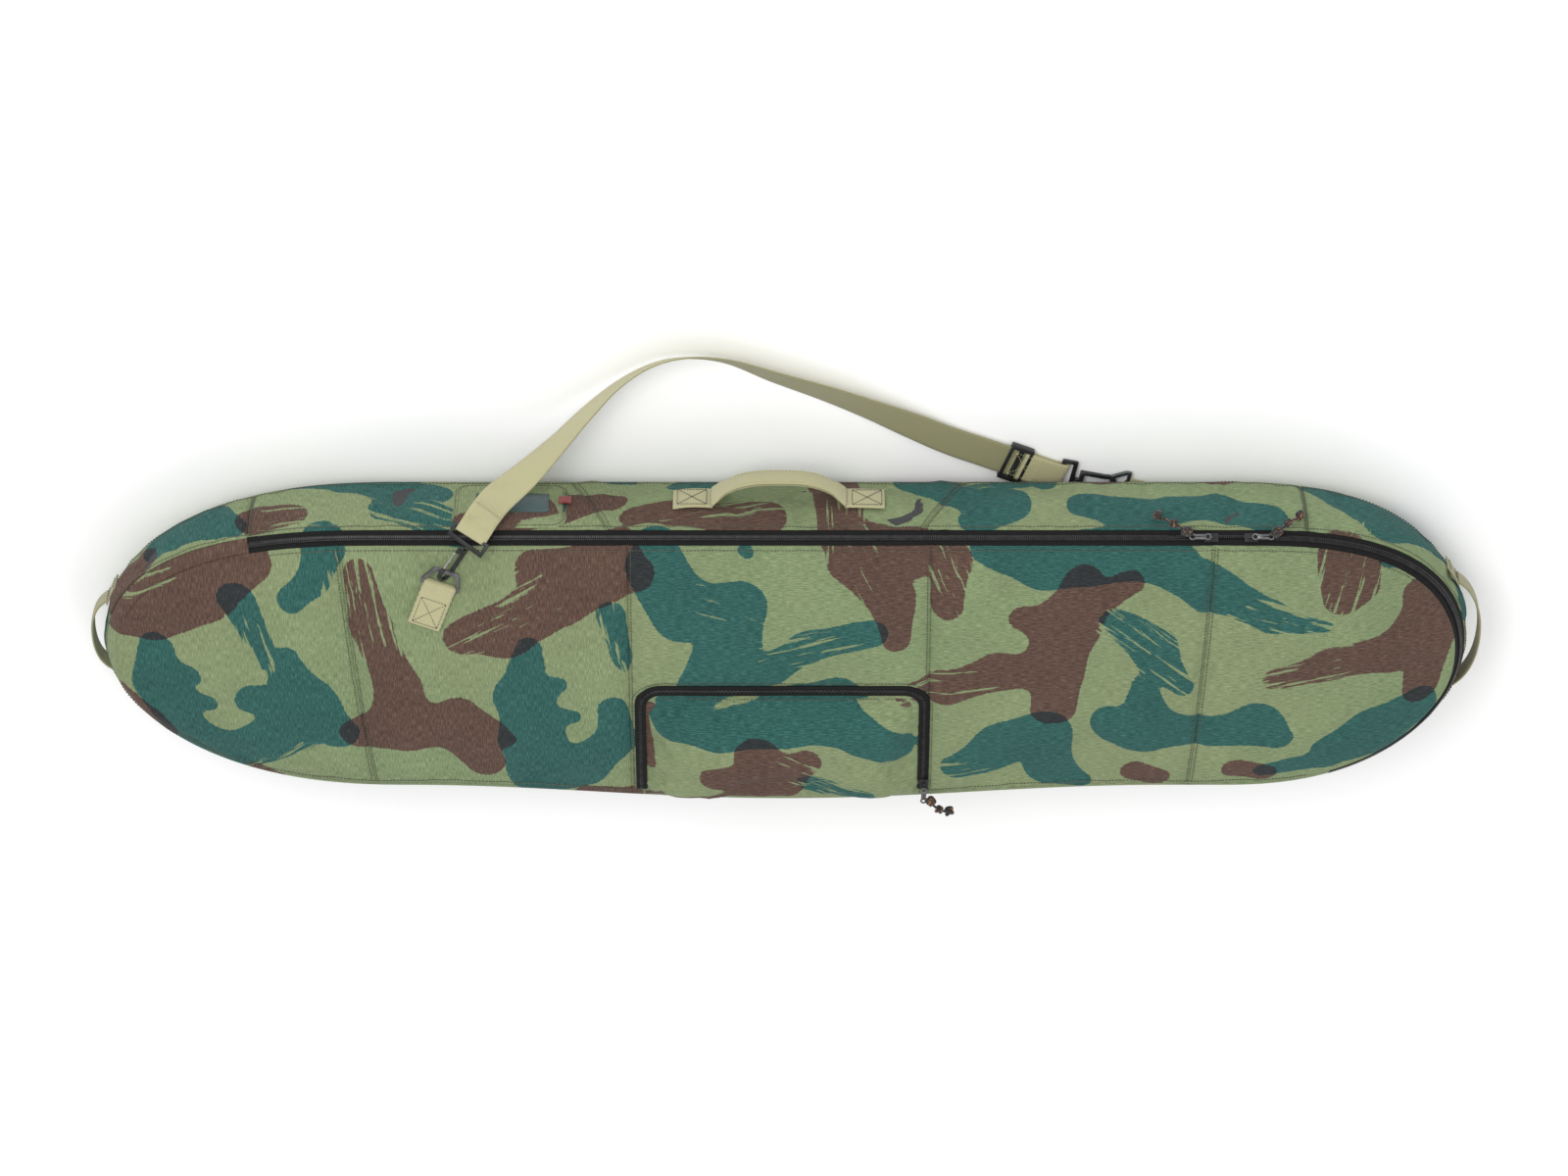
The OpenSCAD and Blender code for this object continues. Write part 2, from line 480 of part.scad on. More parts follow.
module shoulder_strap() color(khaki) {
    p = smooth(strap_route, 3);
    v = smooth(strap_width, 3);
    ribbon([for (i = [0:len(p) - 1]) [p[i], v[i]]], web_w, web_t);
}
adjust_yaw = atan2(-49, 121);
module strap_adjuster() color(black) translate([268, 199.4, 6]) rotate([0, 0, adjust_yaw]) difference() {
    translate([-14, -24, -4]) cube([28, 48, 8]);
    translate([-15, -20.5, -2]) cube([30, 41, 4]);
    for (x = [-10, 3]) translate([x, -19, 1]) cube([7, 38, 4]);
    for (x = [-10, 3]) translate([x, -19, -5]) cube([7, 38, 4]);
}

// ---- name pocket on the side wall with its pull-out card ----
id_x = [-372, -252];
id_z = [48, 112];
module id_pocket() color(teal) difference() {
    translate([id_x[0], 192.2, id_z[0]]) cube([id_x[1] - id_x[0], 3, id_z[1] - id_z[0]]);
    translate([id_x[0] + 14, 193.2, id_z[0] + 12]) cube([120, 1, id_z[1] - id_z[0] - 24]);
    translate([id_x[0] + 24, 192.9, id_z[0] + 20]) cube([60, 5, id_z[1] - id_z[0] - 40]);
}
module id_card() color([0.1, 0.25, 0.27])
    translate([id_x[0] + 16, 193.4, id_z[0] + 13]) cube([102, 0.6, id_z[1] - id_z[0] - 26]);

back_panel();
back_foam();
back_lining();
gusset_top_left();
gusset_top_centre();
gusset_top_right();
gusset_bottom();
gusset_left_end();
gusset_right_end();
gusset_foam();
gusset_lining();
front_panel_left();
front_panel_mid_left();
front_panel_centre();
front_panel_mid_right();
front_foam();
front_lining();
front_binding();
back_binding();
zip_tape_gusset();
zip_coil_gusset();
flap_panel_mid_left();
flap_panel_centre();
flap_panel_mid_right();
flap_panel_right();
flap_foam();
flap_lining();
zip_tape_flap();
zip_coil_flap();
pocket_panel();
pocket_zip_tape();
pocket_zip_coil();
pocket_slider();
pocket_pull();
pocket_cord();
slider_left();
pull_left();
cord_left();
slider_right();
pull_right();
cord_right();
carry_handle();
carry_handle_tabs();
end_handle_left();
end_handle_right();
end_handle_tabs();
ring_tab_left();
ring_left();
hook_left();
gate_left();
strap_loop_left();
ring_tab_right();
ring_right();
hook_right();
gate_right();
strap_loop_right();
shoulder_strap();
strap_adjuster();
id_pocket();
id_card();
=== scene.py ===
"""Looks for the padded snowboard bag: camouflage shell, zips, webbing, stitching and strap hardware."""
import math

import bpy
import numpy as np
from mathutils import Matrix, Vector, noise


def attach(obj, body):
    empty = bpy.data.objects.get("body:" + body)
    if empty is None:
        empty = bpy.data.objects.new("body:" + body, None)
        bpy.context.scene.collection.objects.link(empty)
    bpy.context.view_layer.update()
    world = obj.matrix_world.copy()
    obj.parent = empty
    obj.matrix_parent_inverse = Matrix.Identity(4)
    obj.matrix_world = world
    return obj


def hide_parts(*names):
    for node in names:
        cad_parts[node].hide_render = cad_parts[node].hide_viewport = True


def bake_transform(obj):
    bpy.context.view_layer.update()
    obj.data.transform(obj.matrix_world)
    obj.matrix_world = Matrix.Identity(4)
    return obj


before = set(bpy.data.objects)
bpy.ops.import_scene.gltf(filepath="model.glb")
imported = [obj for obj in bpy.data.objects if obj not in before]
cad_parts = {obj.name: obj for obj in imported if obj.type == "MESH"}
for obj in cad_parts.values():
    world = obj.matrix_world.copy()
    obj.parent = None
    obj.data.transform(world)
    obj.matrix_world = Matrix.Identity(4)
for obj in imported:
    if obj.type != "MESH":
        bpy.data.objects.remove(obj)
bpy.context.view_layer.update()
MM = 0.001
rng = np.random.default_rng(7)

# ---- driving sizes, the same as the shell's own (metres) ----
HALF_LEN = 0.792
HALF_TOP = 0.184
HALF_BOTTOM = 0.176
BELLY = 0.020
SEAM_H = 0.136
BACK_H = 0.018
CROWN = 0.022
BOW = 0.008
INSET = 0.010
TAPER_LEFT = 0.450
TAPER_RIGHT = 0.520
TIP_DROP = 0.034
BACK_TIP = 0.016
CLOTH_T = 0.0015
FOAM_T = 0.006
LINING_T = 0.001
EDGE_X = HALF_LEN - INSET
ZIP_X0 = -0.619
ZIP_X1 = 0.600
FOLD_A = (-0.280, HALF_TOP - INSET)
FOLD_B = (0.640, -0.154)
FOLD_Z = 0.160
TIP_ANGLE = 68
SEAMS = (-0.500, -0.182, 0.167, 0.485)
POCKET_X = (-0.166, 0.158)
POCKET_HEM = -0.182
POCKET_TOP = -0.016
POCKET_RISE = 0.030
WEB_W = 0.038
WEB_T = 0.0024
ID_X = (-0.384, -0.252)
ID_Z = (0.040, 0.124)


# ---- camera, floor and light ----
def make_camera():
    """Looks down on the bag from its handle's side, 35 degrees off the vertical."""
    tilt = math.radians(35)
    away = Vector((0, math.sin(tilt), math.cos(tilt)))
    up = Vector((0, math.cos(tilt), -math.sin(tilt)))
    distance = 6.0
    aim = Vector((-0.002, 0, 0)) + up * 0.0143
    cam = bpy.data.cameras.new("camera")
    frame_width = 1.864
    cam.lens = cam.sensor_width * distance / frame_width
    cam.clip_end = 50
    obj = bpy.data.objects.new("camera", cam)
    bpy.context.collection.objects.link(obj)
    rows = Matrix((Vector((1, 0, 0)), up, away)).transposed().to_4x4()
    obj.matrix_world = Matrix.Translation(aim + away * distance) @ rows
    bpy.context.scene.camera = obj


def area_light(name, place, aim, size, watts):
    light = bpy.data.lights.new(name, "AREA")
    light.size = size
    light.energy = watts
    obj = bpy.data.objects.new(name, light)
    bpy.context.collection.objects.link(obj)
    obj.location = place
    obj.rotation_euler = (Vector(aim) - Vector(place)).to_track_quat("-Z", "Y").to_euler()


def make_studio():
    mesh = bpy.data.meshes.new("floor")
    half = 14
    mesh.from_pydata([(-half, -half, 0), (half, -half, 0), (half, half, 0), (-half, half, 0)], [], [(0, 1, 2, 3)])
    floor = bpy.data.objects.new("floor", mesh)
    bpy.context.collection.objects.link(floor)
    mat = bpy.data.materials.new("floor_paper")
    mat.use_nodes = True
    bsdf = mat.node_tree.nodes["Principled BSDF"]
    bsdf.inputs["Base Color"].default_value = (0.98, 0.98, 0.98, 1)
    bsdf.inputs["Roughness"].default_value = 0.9
    mesh.materials.append(mat)
    world = bpy.data.worlds.new("studio")
    world.use_nodes = True
    world.node_tree.nodes["Background"].inputs["Color"].default_value = (1, 1, 1, 1)
    world.node_tree.nodes["Background"].inputs["Strength"].default_value = 0.84
    bpy.context.scene.world = world
    area_light("key", (-0.9, 2.2, 2.8), (0, 0, 0.1), 1.8, 50)
    area_light("fill", (1.6, -1.2, 3.0), (0, 0, 0.1), 2.6, 16)
    bpy.context.scene.view_settings.view_transform = "Standard"


# ---- small node helpers ----
class Nodes:
    """Builds one material's node tree with short calls."""

    def __init__(self, name, roughness=0.8, metallic=0.0, sheen=0.0, ior=1.45, coat=0.0):
        self.mat = bpy.data.materials.new(name)
        self.mat.use_nodes = True
        self.tree = self.mat.node_tree
        self.bsdf = self.tree.nodes["Principled BSDF"]
        self.bsdf.inputs["Roughness"].default_value = roughness
        self.bsdf.inputs["Metallic"].default_value = metallic
        self.bsdf.inputs["Sheen Weight"].default_value = sheen
        self.bsdf.inputs["IOR"].default_value = ior
        self.bsdf.inputs["Coat Weight"].default_value = coat

    def put(self, socket, value):
        if isinstance(value, bpy.types.NodeSocket):
            self.tree.links.new(value, socket)
        elif hasattr(value, "__len__") and len(value) == 3 and socket.type == "RGBA":
            socket.default_value = (*value, 1)
        else:
            socket.default_value = value

    def node(self, kind, inputs=None, **settings):
        made = self.tree.nodes.new(kind)
        for key, value in settings.items():
            setattr(made, key, value)
        for key, value in (inputs or {}).items():
            self.put(made.inputs[key], value)
        return made

    def math(self, operation, a, b=0.0, c=0.0, clamp=False):
        made = self.node("ShaderNodeMath", {0: a, 1: b, 2: c}, operation=operation, use_clamp=clamp)
        return made.outputs[0]

    def uv(self):
        return self.node("ShaderNodeUVMap", uv_map="cloth").outputs[0]

    def place(self):
        return self.node("ShaderNodeTexCoord").outputs["Object"]

    def scaled(self, vector, scale):
        made = self.node("ShaderNodeMapping", {"Vector": vector, "Scale": scale})
        return made.outputs[0]

    def noise(self, vector, scale, detail=2.0, rough=0.5):
        made = self.node("ShaderNodeTexNoise", {"Vector": vector, "Scale": scale, "Detail": detail, "Roughness": rough})
        return made.outputs[0]

    def wave(self, vector, scale, direction, distortion=0.0):
        made = self.node("ShaderNodeTexWave", {"Vector": vector, "Scale": scale, "Distortion": distortion},
                         bands_direction=direction)
        return made.outputs[1]

    def ramp(self, value, low, high, to_low=0.0, to_high=1.0):
        made = self.node("ShaderNodeMapRange", {0: value, 1: low, 2: high, 3: to_low, 4: to_high}, clamp=True)
        return made.outputs[0]

    def mix(self, share, a, b, blend="MIX"):
        made = self.node("ShaderNodeMix", data_type="RGBA", blend_type=blend, clamp_factor=True)
        self.put(made.inputs[0], share)
        self.put(made.inputs[6], a)
        self.put(made.inputs[7], b)
        return made.outputs[2]

    def finish(self, color=None, rough=None, height=None, depth=0.001, strength=1.0):
        if color is not None:
            self.put(self.bsdf.inputs["Base Color"], color)
        if rough is not None:
            self.put(self.bsdf.inputs["Roughness"], rough)
        if height is not None:
            bump = self.node("ShaderNodeBump", {"Height": height, "Distance": depth, "Strength": strength})
            self.tree.links.new(bump.outputs[0], self.bsdf.inputs["Normal"])
        return self.mat


def weave(n, vector, pitch):
    """Plain weave: crossing threads of the given pitch; returns the height from 0 to 1."""
    k = 1 / pitch / (2 * math.pi) * math.pi
    warp = n.wave(vector, k, "X", 0.4)
    weft = n.wave(vector, k, "Y", 0.4)
    return n.math("MULTIPLY", n.math("ADD", warp, weft), 0.5)


def slub(n, vector, along, across):
    """Uneven yarn: noise drawn out along X and along Y."""
    flat = n.noise(n.scaled(vector, (along, across, 1)), 1.0, 3.0, 0.6)
    tall = n.noise(n.scaled(vector, (across, along, 1)), 1.0, 3.0, 0.6)
    return flat, tall


SAGE, SAGE_WARM, SAGE_LIGHT = (0.140, 0.205, 0.098), (0.175, 0.210, 0.105), (0.300, 0.360, 0.190)
TEAL, TEAL_LIGHT = (0.016, 0.078, 0.070), (0.060, 0.190, 0.160)
BROWN, BROWN_LIGHT = (0.076, 0.042, 0.031), (0.190, 0.120, 0.088)
NAVY, NAVY_LIGHT = (0.016, 0.020, 0.022), (0.045, 0.050, 0.052)


def camo_material():
    """Printed heather canvas: the ink edges come from distances stored on the mesh."""
    n = Nodes("camo_canvas", roughness=0.88, sheen=0.03, ior=1.35)
    uv = n.uv()
    ink = n.node("ShaderNodeAttribute", attribute_name="ink").outputs["Vector"]
    ink = n.node("ShaderNodeSeparateXYZ", {0: ink})
    brush = n.node("ShaderNodeAttribute", attribute_name="brush").outputs["Vector"]
    flat, tall = slub(n, uv, 110, 900)
    left = n.ramp(n.node("ShaderNodeSeparateXYZ", {0: uv}).outputs[0], SEAMS[1] - 0.001, SEAMS[1] + 0.001, 0.82, 0.18)
    fibre = n.math("ADD", n.math("MULTIPLY", tall, left), n.math("MULTIPLY", flat, n.math("SUBTRACT", 1.0, left)))
    fibre = n.math("MULTIPLY", fibre, 2.0)
    wobble = n.math("MULTIPLY", n.math("SUBTRACT", n.noise(uv, 260, 3, 0.6), 0.5), 0.0022)
    grain = n.math("MULTIPLY", n.math("SUBTRACT", fibre, 1.0), 0.0016)
    hairs = n.noise(n.scaled(brush, (10, 150, 1)), 1.0, 4.0, 0.62)
    bristle = n.math("MULTIPLY", n.ramp(hairs, 0.54, 0.68), 0.055)
    worn = n.math("MULTIPLY", bristle, ink.outputs[2])
    edge = 0.0005

    def inked(distance):
        total = n.math("ADD", n.math("ADD", distance, wobble), n.math("ADD", grain, worn))
        return n.ramp(total, -edge, edge, 1.0, 0.0)

    brown = inked(ink.outputs[0])
    teal = inked(ink.outputs[1])
    ground = n.mix(n.ramp(n.noise(uv, 3.2, 2), 0.35, 0.7), SAGE, SAGE_WARM)
    ground = n.mix(n.ramp(fibre, 0.80, 1.35), ground, SAGE_LIGHT)
    teal_ink = n.mix(n.ramp(fibre, 0.90, 1.45), TEAL, TEAL_LIGHT)
    brown_ink = n.mix(n.ramp(fibre, 0.90, 1.45), BROWN, BROWN_LIGHT)
    navy_ink = n.mix(n.ramp(fibre, 0.90, 1.45), NAVY, NAVY_LIGHT)
    color = n.mix(teal, ground, teal_ink)
    color = n.mix(brown, color, n.mix(teal, brown_ink, navy_ink))
    # painted shade: broad random darker and lighter patches multiplied into the print's colour, standing in for the
    # shading of soft creases
    painted_crease_shade = n.ramp(n.noise(uv, 11, 4, 0.7), 0.3, 0.75, 0.90, 1.10)
    color = n.mix(1.0, color, n.node("ShaderNodeCombineColor", {0: painted_crease_shade, 1: painted_crease_shade, 2: painted_crease_shade}).outputs[0], "MULTIPLY")
    height = n.math("ADD", n.math("MULTIPLY", weave(n, uv, 0.0011), 0.6), n.math("MULTIPLY", fibre, 0.5))
    return n.finish(color, n.ramp(fibre, 0.6, 1.4, 0.95, 0.78), height, 0.0006, 0.55)


def webbing_material(name, dark, light, rib=0.0016):
    """Ribbed webbing: fine ribs across the width, a woven edge and small dye changes."""
    n = Nodes(name, roughness=0.7, sheen=0.25)
    uv = n.uv()
    k = 1 / rib / (2 * math.pi) * math.pi
    ribs = n.wave(uv, k, "X", 0.3)
    cross = n.wave(uv, 1 / 0.0009 / (2 * math.pi) * math.pi, "Y", 0.5)
    height = n.math("ADD", n.math("MULTIPLY", ribs, 0.75), n.math("MULTIPLY", cross, 0.35))
    tone = n.math("ADD", n.math("MULTIPLY", height, 0.55), n.math("MULTIPLY", n.noise(uv, 900, 2), 0.5))
    color = n.mix(n.ramp(tone, 0.35, 1.0), dark, light)
    color = n.mix(n.ramp(n.noise(uv, 25, 3), 0.55, 0.8, 0.0, 0.25), color, dark)
    return n.finish(color, None, height, 0.0005, 0.7)


def zip_material():
    n = Nodes("zip_weave", roughness=0.8, ior=1.3)
    uv = n.uv()
    twill = n.node("ShaderNodeMapping", {"Vector": uv, "Rotation": (0, 0, 0.8)}).outputs[0]
    height = n.wave(twill, 1 / 0.0010 / 2, "X", 0.3)
    color = n.mix(n.math("MULTIPLY", height, n.noise(uv, 500, 2)), (0.004, 0.004, 0.004), (0.024, 0.025, 0.024))
    return n.finish(color, None, height, 0.0004, 0.6)


def plain_material(name, dark, light, roughness, metallic=0.0, scale=120, bump=0.00015, coat=0.0):
    """Moulded or painted hard parts: faint mottling, fine grain and duller scuffs."""
    n = Nodes(name, roughness=roughness, metallic=metallic, coat=coat)
    at = n.place()
    spots = n.noise(at, scale, 4, 0.6)
    color = n.mix(n.ramp(spots, 0.35, 0.75), dark, light)
    rough = n.ramp(n.noise(at, scale * 3, 3), 0.3, 0.8, roughness * 0.8, min(1, roughness * 1.35))
    return n.finish(color, rough, n.noise(at, scale * 12, 3), bump, 0.5)


def foam_material():
    n = Nodes("closed_foam", roughness=0.95)
    at = n.place()
    cells = n.node("ShaderNodeTexVoronoi", {"Vector": at, "Scale": 900}).outputs[0]
    return n.finish(n.mix(cells, (0.03, 0.03, 0.032), (0.075, 0.075, 0.08)), None, cells, 0.0005, 0.6)


def lining_material():
    n = Nodes("lining_weave", roughness=0.8, sheen=0.15)
    uv = n.uv()
    height = weave(n, uv, 0.0009)
    flat, tall = slub(n, uv, 60, 900)
    color = n.mix(n.ramp(n.math("ADD", flat, tall), 0.7, 1.3), (0.075, 0.080, 0.082), (0.135, 0.140, 0.142))
    return n.finish(color, None, height, 0.0004, 0.5)


def cord_material():
    """Braided black cord with orange flecks."""
    n = Nodes("flecked_cord", roughness=0.65, sheen=0.2)
    at = n.place()
    fleck = n.ramp(n.noise(at, 420, 1), 0.64, 0.67)
    pale = n.ramp(n.noise(n.scaled(at, (1, 1, 1.3)), 610, 1), 0.68, 0.71)
    color = n.mix(fleck, (0.010, 0.010, 0.011), (0.62, 0.17, 0.03))
    color = n.mix(pale, color, (0.30, 0.27, 0.16))
    return n.finish(color, None, n.noise(at, 1100, 2), 0.0006, 0.9)


def thread_material(name, color):
    n = Nodes(name, roughness=0.6, sheen=0.3)
    tone = n.noise(n.place(), 1500, 2)
    lighter = tuple(min(1, c * 1.5) for c in color)
    return n.finish(n.mix(tone, color, lighter), None, tone, 0.0003, 0.6)


# ---- the shell's surfaces; every function takes and returns numpy arrays ----
def taper(x):
    t = np.where(x < 0, TAPER_LEFT, TAPER_RIGHT)
    return np.clip((np.abs(x) - t) / (HALF_LEN - t), 0, 1)


def half_w(x, s):
    bell = np.where(np.abs(x) < TAPER_LEFT, np.cos(np.pi / 2 * x / TAPER_LEFT) ** 2, 0)
    base = np.where(s < 0, HALF_BOTTOM, HALF_TOP) * np.sqrt(np.maximum(0, 1 - taper(x) ** 2.5))
    return base + np.where(s < 0, BELLY * bell, 0)


def front_z(x):
    return SEAM_H - TIP_DROP * taper(x) ** 2


def back_z(x):
    return BACK_H + BACK_TIP * taper(x) ** 2


def front_at(x, y):
    w = np.maximum(0.001, half_w(x, y))
    r = np.minimum(1, np.abs(y / w))
    return front_z(x) + CROWN * (1 - r ** 2.5) * np.sqrt(half_w(x, 1) / HALF_TOP)


def back_at(x, y):
    q = taper(x) ** 4
    r = np.minimum(1, np.abs(y / np.maximum(0.001, half_w(x, y))))
    e = np.maximum(0, r - 0.4) / 0.6
    return back_z(x) * (e ** 1.8 * (1 - q) + q)


def edge_r(x, s):
    return s * (1 - INSET / np.maximum(0.012, half_w(x, s)))


def tip_pt(s, degrees):
    a = np.radians(degrees)
    t = TAPER_LEFT if s < 0 else TAPER_RIGHT
    x = s * (t + (HALF_LEN - t) * np.maximum(0, np.cos(a)) ** 0.8)
    return np.stack([x, np.where(a < 0, HALF_BOTTOM, HALF_TOP) * np.sin(a)], -1)


def tip_angle_at(x):
    return float(np.degrees(np.arccos(taper(np.array(x)) ** 1.25)))


def turned(v):
    """Plan vectors turned a quarter to the right and made one long."""
    out = np.stack([v[..., 1], -v[..., 0]], -1)
    return out / np.linalg.norm(out, axis=-1, keepdims=True)


def side_rail(xs, s):
    """Points on the outline's long side with their outward normals."""
    xs = np.asarray(xs, float)
    points = np.stack([xs, s * half_w(xs, s)], -1)
    step = 0.001
    slope = np.stack([np.full_like(xs, 2 * step), s * (half_w(xs + step, s) - half_w(xs - step, s))], -1)
    return points, turned(slope) * (-s)


def tip_rail(s, degrees):
    degrees = np.asarray(degrees, float)
    ahead = tip_pt(s, np.minimum(89.9, degrees + 0.5)) - tip_pt(s, np.maximum(-89.9, degrees - 0.5))
    return tip_pt(s, degrees), turned(ahead) * s


def join_rails(*rails):
    points = np.concatenate([rails[0][0]] + [r[0][1:] for r in rails[1:]])
    normals = np.concatenate([rails[0][1]] + [r[1][1:] for r in rails[1:]])
    return points, normals


def wall_pts(rail, hs, d=0.0):
    """Side wall: h runs from 0 at the back strip to 1 at the front strip."""
    p, n = rail
    z0 = (back_z(p[:, 0]) + INSET)[:, None]
    z1 = (front_z(p[:, 0]) - INSET)[:, None]
    z = z0 + (z1 - z0) * hs[None, :]
    base = back_z(p[:, 0])[:, None]
    k = (z - base) / (front_z(p[:, 0])[:, None] - base)
    out = BOW * 4 * k * (1 - k) - d
    xy = p[:, None, :] + n[:, None, :] * out[..., None]
    return np.concatenate([xy, z[..., None]], -1)


def strip_pts(rail, ks, d=0.0):
    """Corner strip: k runs from 0 on the front to 1 on the wall."""
    p, n = rail
    inner = p - n * INSET
    a = np.concatenate([inner, front_at(inner[:, 0], inner[:, 1])[:, None]], -1)
    b = wall_pts(rail, np.array([1.0]))[:, 0]
    t = b - a
    along = np.concatenate([np.stack([-n[:, 1], n[:, 0]], -1), np.zeros((len(n), 1))], -1)
    up = np.cross(t, along)
    up /= np.linalg.norm(up, axis=-1, keepdims=True)
    up *= np.sign(up[:, 2:3] + 1e-9)
    d = np.asarray(d, float)
    return a[:, None] + t[:, None] * ks[None, :, None] - up[:, None] * (d[..., None] if d.ndim else d)


def back_strip_pts(rail, ks, d=0.0):
    p, n = rail
    inner = p - n * INSET
    a = np.concatenate([inner, back_at(inner[:, 0], inner[:, 1])[:, None]], -1)
    b = wall_pts(rail, np.array([0.0]))[:, 0]
    out = np.concatenate([n, -np.ones((len(n), 1))], -1) * 0.7
    d = np.asarray(d, float)
    return a[:, None] + (b - a)[:, None] * ks[None, :, None] - out[:, None] * (d[..., None] if d.ndim else d)


def normals_of(grid):
    du = np.gradient(grid, axis=0)
    dv = np.gradient(grid, axis=1)
    out = np.cross(du, dv)
    return out / np.maximum(1e-12, np.linalg.norm(out, axis=-1, keepdims=True))


def ripple(points, scale, seed=0.0):
    """Smooth noise from -1 to 1 at each point."""
    flat = points.reshape(-1, 3) * scale + seed
    return np.array([noise.noise(p) for p in flat]).reshape(points.shape[:-1])


# ---- camouflage print: strokes of ink as (x, y, radius) in millimetres on the unrolled shell ----
BROWN_STROKES = [
    [(-620, 148, 26), (-676, 115, 44), (-747, 63, 32), (-795, 58, 26)],
    [(-775, -60, 14), (-750, -92, 20), (-732, -106, 15)], [(-625, -150, 15), (-600, -162, 12)],
    [(-486, 140, 18), (-473, 72, 24), (-453, -4, 26), (-450, -62, 38)], [(-450, -66, 34), (-498, -84, 23)],
    [(-450, -66, 36), (-394, -66, 34), (-364, -82, 31), (-336, -90, 13)], [(-384, -38, 20), (-364, -82, 28)],
    [(-394, -70, 30), (-356, -131, 24)],
    [(-166, 137, 17), (-200, 142, 34), (-255, 120, 38), (-327, 72, 30), (-372, 62, 21)], [(-285, 150, 24), (-200, 150, 30)],
    [(-230, -178, 14), (-180, -182, 16)],
    [(88, 158, 38), (123, 110, 30), (128, 58, 19)], [(88, 162, 28), (150, 160, 22), (193, 155, 20), (192, 100, 19)],
    [(337, 130, 26), (324, 80, 38), (310, 22, 32), (310, -44, 27)], [(278, 88, 18), (324, 80, 34)],
    [(324, 95, 30), (396, 124, 16)], [(310, 10, 30), (249, 12, 24), (187, -10, 20), (158, -14, 14)],
    [(412, -140, 18), (438, -152, 16)], [(530, -136, 18), (562, -148, 14)],
    [(572, 4, 14), (630, 18, 20), (700, 26, 25), (749, 62, 38), (785, 105, 22)], [(749, 50, 34), (743, -30, 26)],
    [(727, 95, 16), (760, 85, 26)], [(640, 168, 28), (645, 112, 26)], [(670, 165, 18), (668, 115, 16)],
    [(-158, -35, 14), (-152, -112, 14)], [(-144, -176, 8), (-59, -165, 18), (0, -132, 32), (-20, -90, 26)],
    [(-76, -122, 16), (-20, -120, 26)], [(0, -120, 28), (35, -98, 17)],
    [(-765, 205, 24), (-820, 200, 26)], [(-608, 206, 24), (-562, 210, 17)], [(-205, 236, 18), (-260, 225, 24), (-320, 196, 18)],
    [(-185, 200, 14), (-130, 212, 22), (-60, 210, 24), (-22, 208, 26)], [(50, 292, 30), (62, 240, 24), (64, 190, 24)],
    [(350, 287, 12), (376, 284, 12)], [(470, 292, 14), (502, 280, 16)], [(930, 210, 30), (1010, 235, 34)],
    [(1110, 280, 26), (1180, 250, 22)], [(-960, 250, 34), (-1030, 215, 26)], [(-1130, 275, 26), (-1190, 250, 22)],
]
TEAL_STROKES = [
    [(-636, 99, 20), (-620, 48, 15), (-612, 22, 6)], [(-586, 29, 20), (-563, -35, 43), (-524, -84, 23)],
    [(-625, -29, 22), (-563, -45, 34)], [(-563, -45, 40), (-577, -80, 36), (-648, -118, 28), (-704, -101, 30),
                                        (-732, -36, 29), (-735, 22, 20)],
    [(-725, -15, 24), (-704, -5, 14)], [(-725, -45, 26), (-682, -41, 13)], [(-528, 168, 28), (-541, 133, 19), (-575, 106, 17)],
    [(-196, 92, 17), (-190, 40, 11), (-188, 22, 6)],
    [(-299, 52, 15), (-311, -18, 31), (-305, -86, 36), (-285, -138, 44)], [(-311, -18, 28), (-273, 0, 12)],
    [(-305, -55, 28), (-259, -52, 11)], [(-206, -40, 21), (-200, -86, 25), (-240, -131, 32), (-285, -138, 44)],
    [(-150, 150, 34), (-115, 100, 34), (-60, 102, 32), (-67, 38, 36), (-90, 0, 30)], [(-80, 5, 30), (-17, 17, 22), (22, 42, 20), (100, 63, 18)],
    [(-50, 176, 9), (-48, 172, 8)],
    [(225, 172, 14), (290, 158, 26), (440, 154, 32), (490, 118, 28), (560, 90, 20), (625, 72, 7)],
    [(372, 80, 14), (430, 42, 26), (464, 0, 14)], [(417, 0, 16), (420, -65, 36), (491, -72, 20), (550, -62, 30), (572, -85, 18)],
    [(380, -63, 27), (420, -68, 32)], [(195, -133, 18), (249, -102, 34), (302, -84, 30), (310, -139, 28), (345, -160, 14)],
    [(560, -142, 12), (640, -128, 14), (700, -105, 22)], [(630, -110, 18), (685, -85, 30), (740, -62, 28)],
    [(690, -90, 30), (720, -115, 20)], [(700, 150, 18), (745, 140, 22), (785, 118, 14)],
    [(-135, -22, 14), (-115, -40, 22), (-59, -56, 23), (12, -45, 32), (62, -36, 34), (102, -59, 24), (142, -82, 22)],
    [(40, -135, 18), (102, -160, 16)],
    [(-635, 200, 18), (-675, 226, 34), (-735, 220, 26)], [(-565, 292, 24), (-500, 272, 20), (-440, 255, 30), (-400, 250, 22)],
    [(-455, 215, 18), (-400, 200, 22), (-370, 190, 20)], [(-205, 296, 14), (-185, 292, 13)], [(-125, 272, 14), (-90, 286, 20)],
    [(150, 282, 26), (200, 250, 26), (250, 232, 30), (215, 200, 20)], [(235, 284, 14), (300, 284, 16)],
    [(340, 225, 18), (390, 205, 22), (440, 212, 20), (500, 222, 20), (552, 204, 22)],
    [(590, 290, 14), (640, 260, 30), (690, 230, 34), (740, 250, 34), (790, 240, 24)], [(835, 212, 18), (850, 205, 16)],
    [(900, 270, 28), (960, 285, 24)], [(1060, 215, 28), (1130, 210, 24)], [(-880, 215, 30), (-920, 260, 26)],
    [(-1080, 260, 30), (-1150, 215, 26)],
]
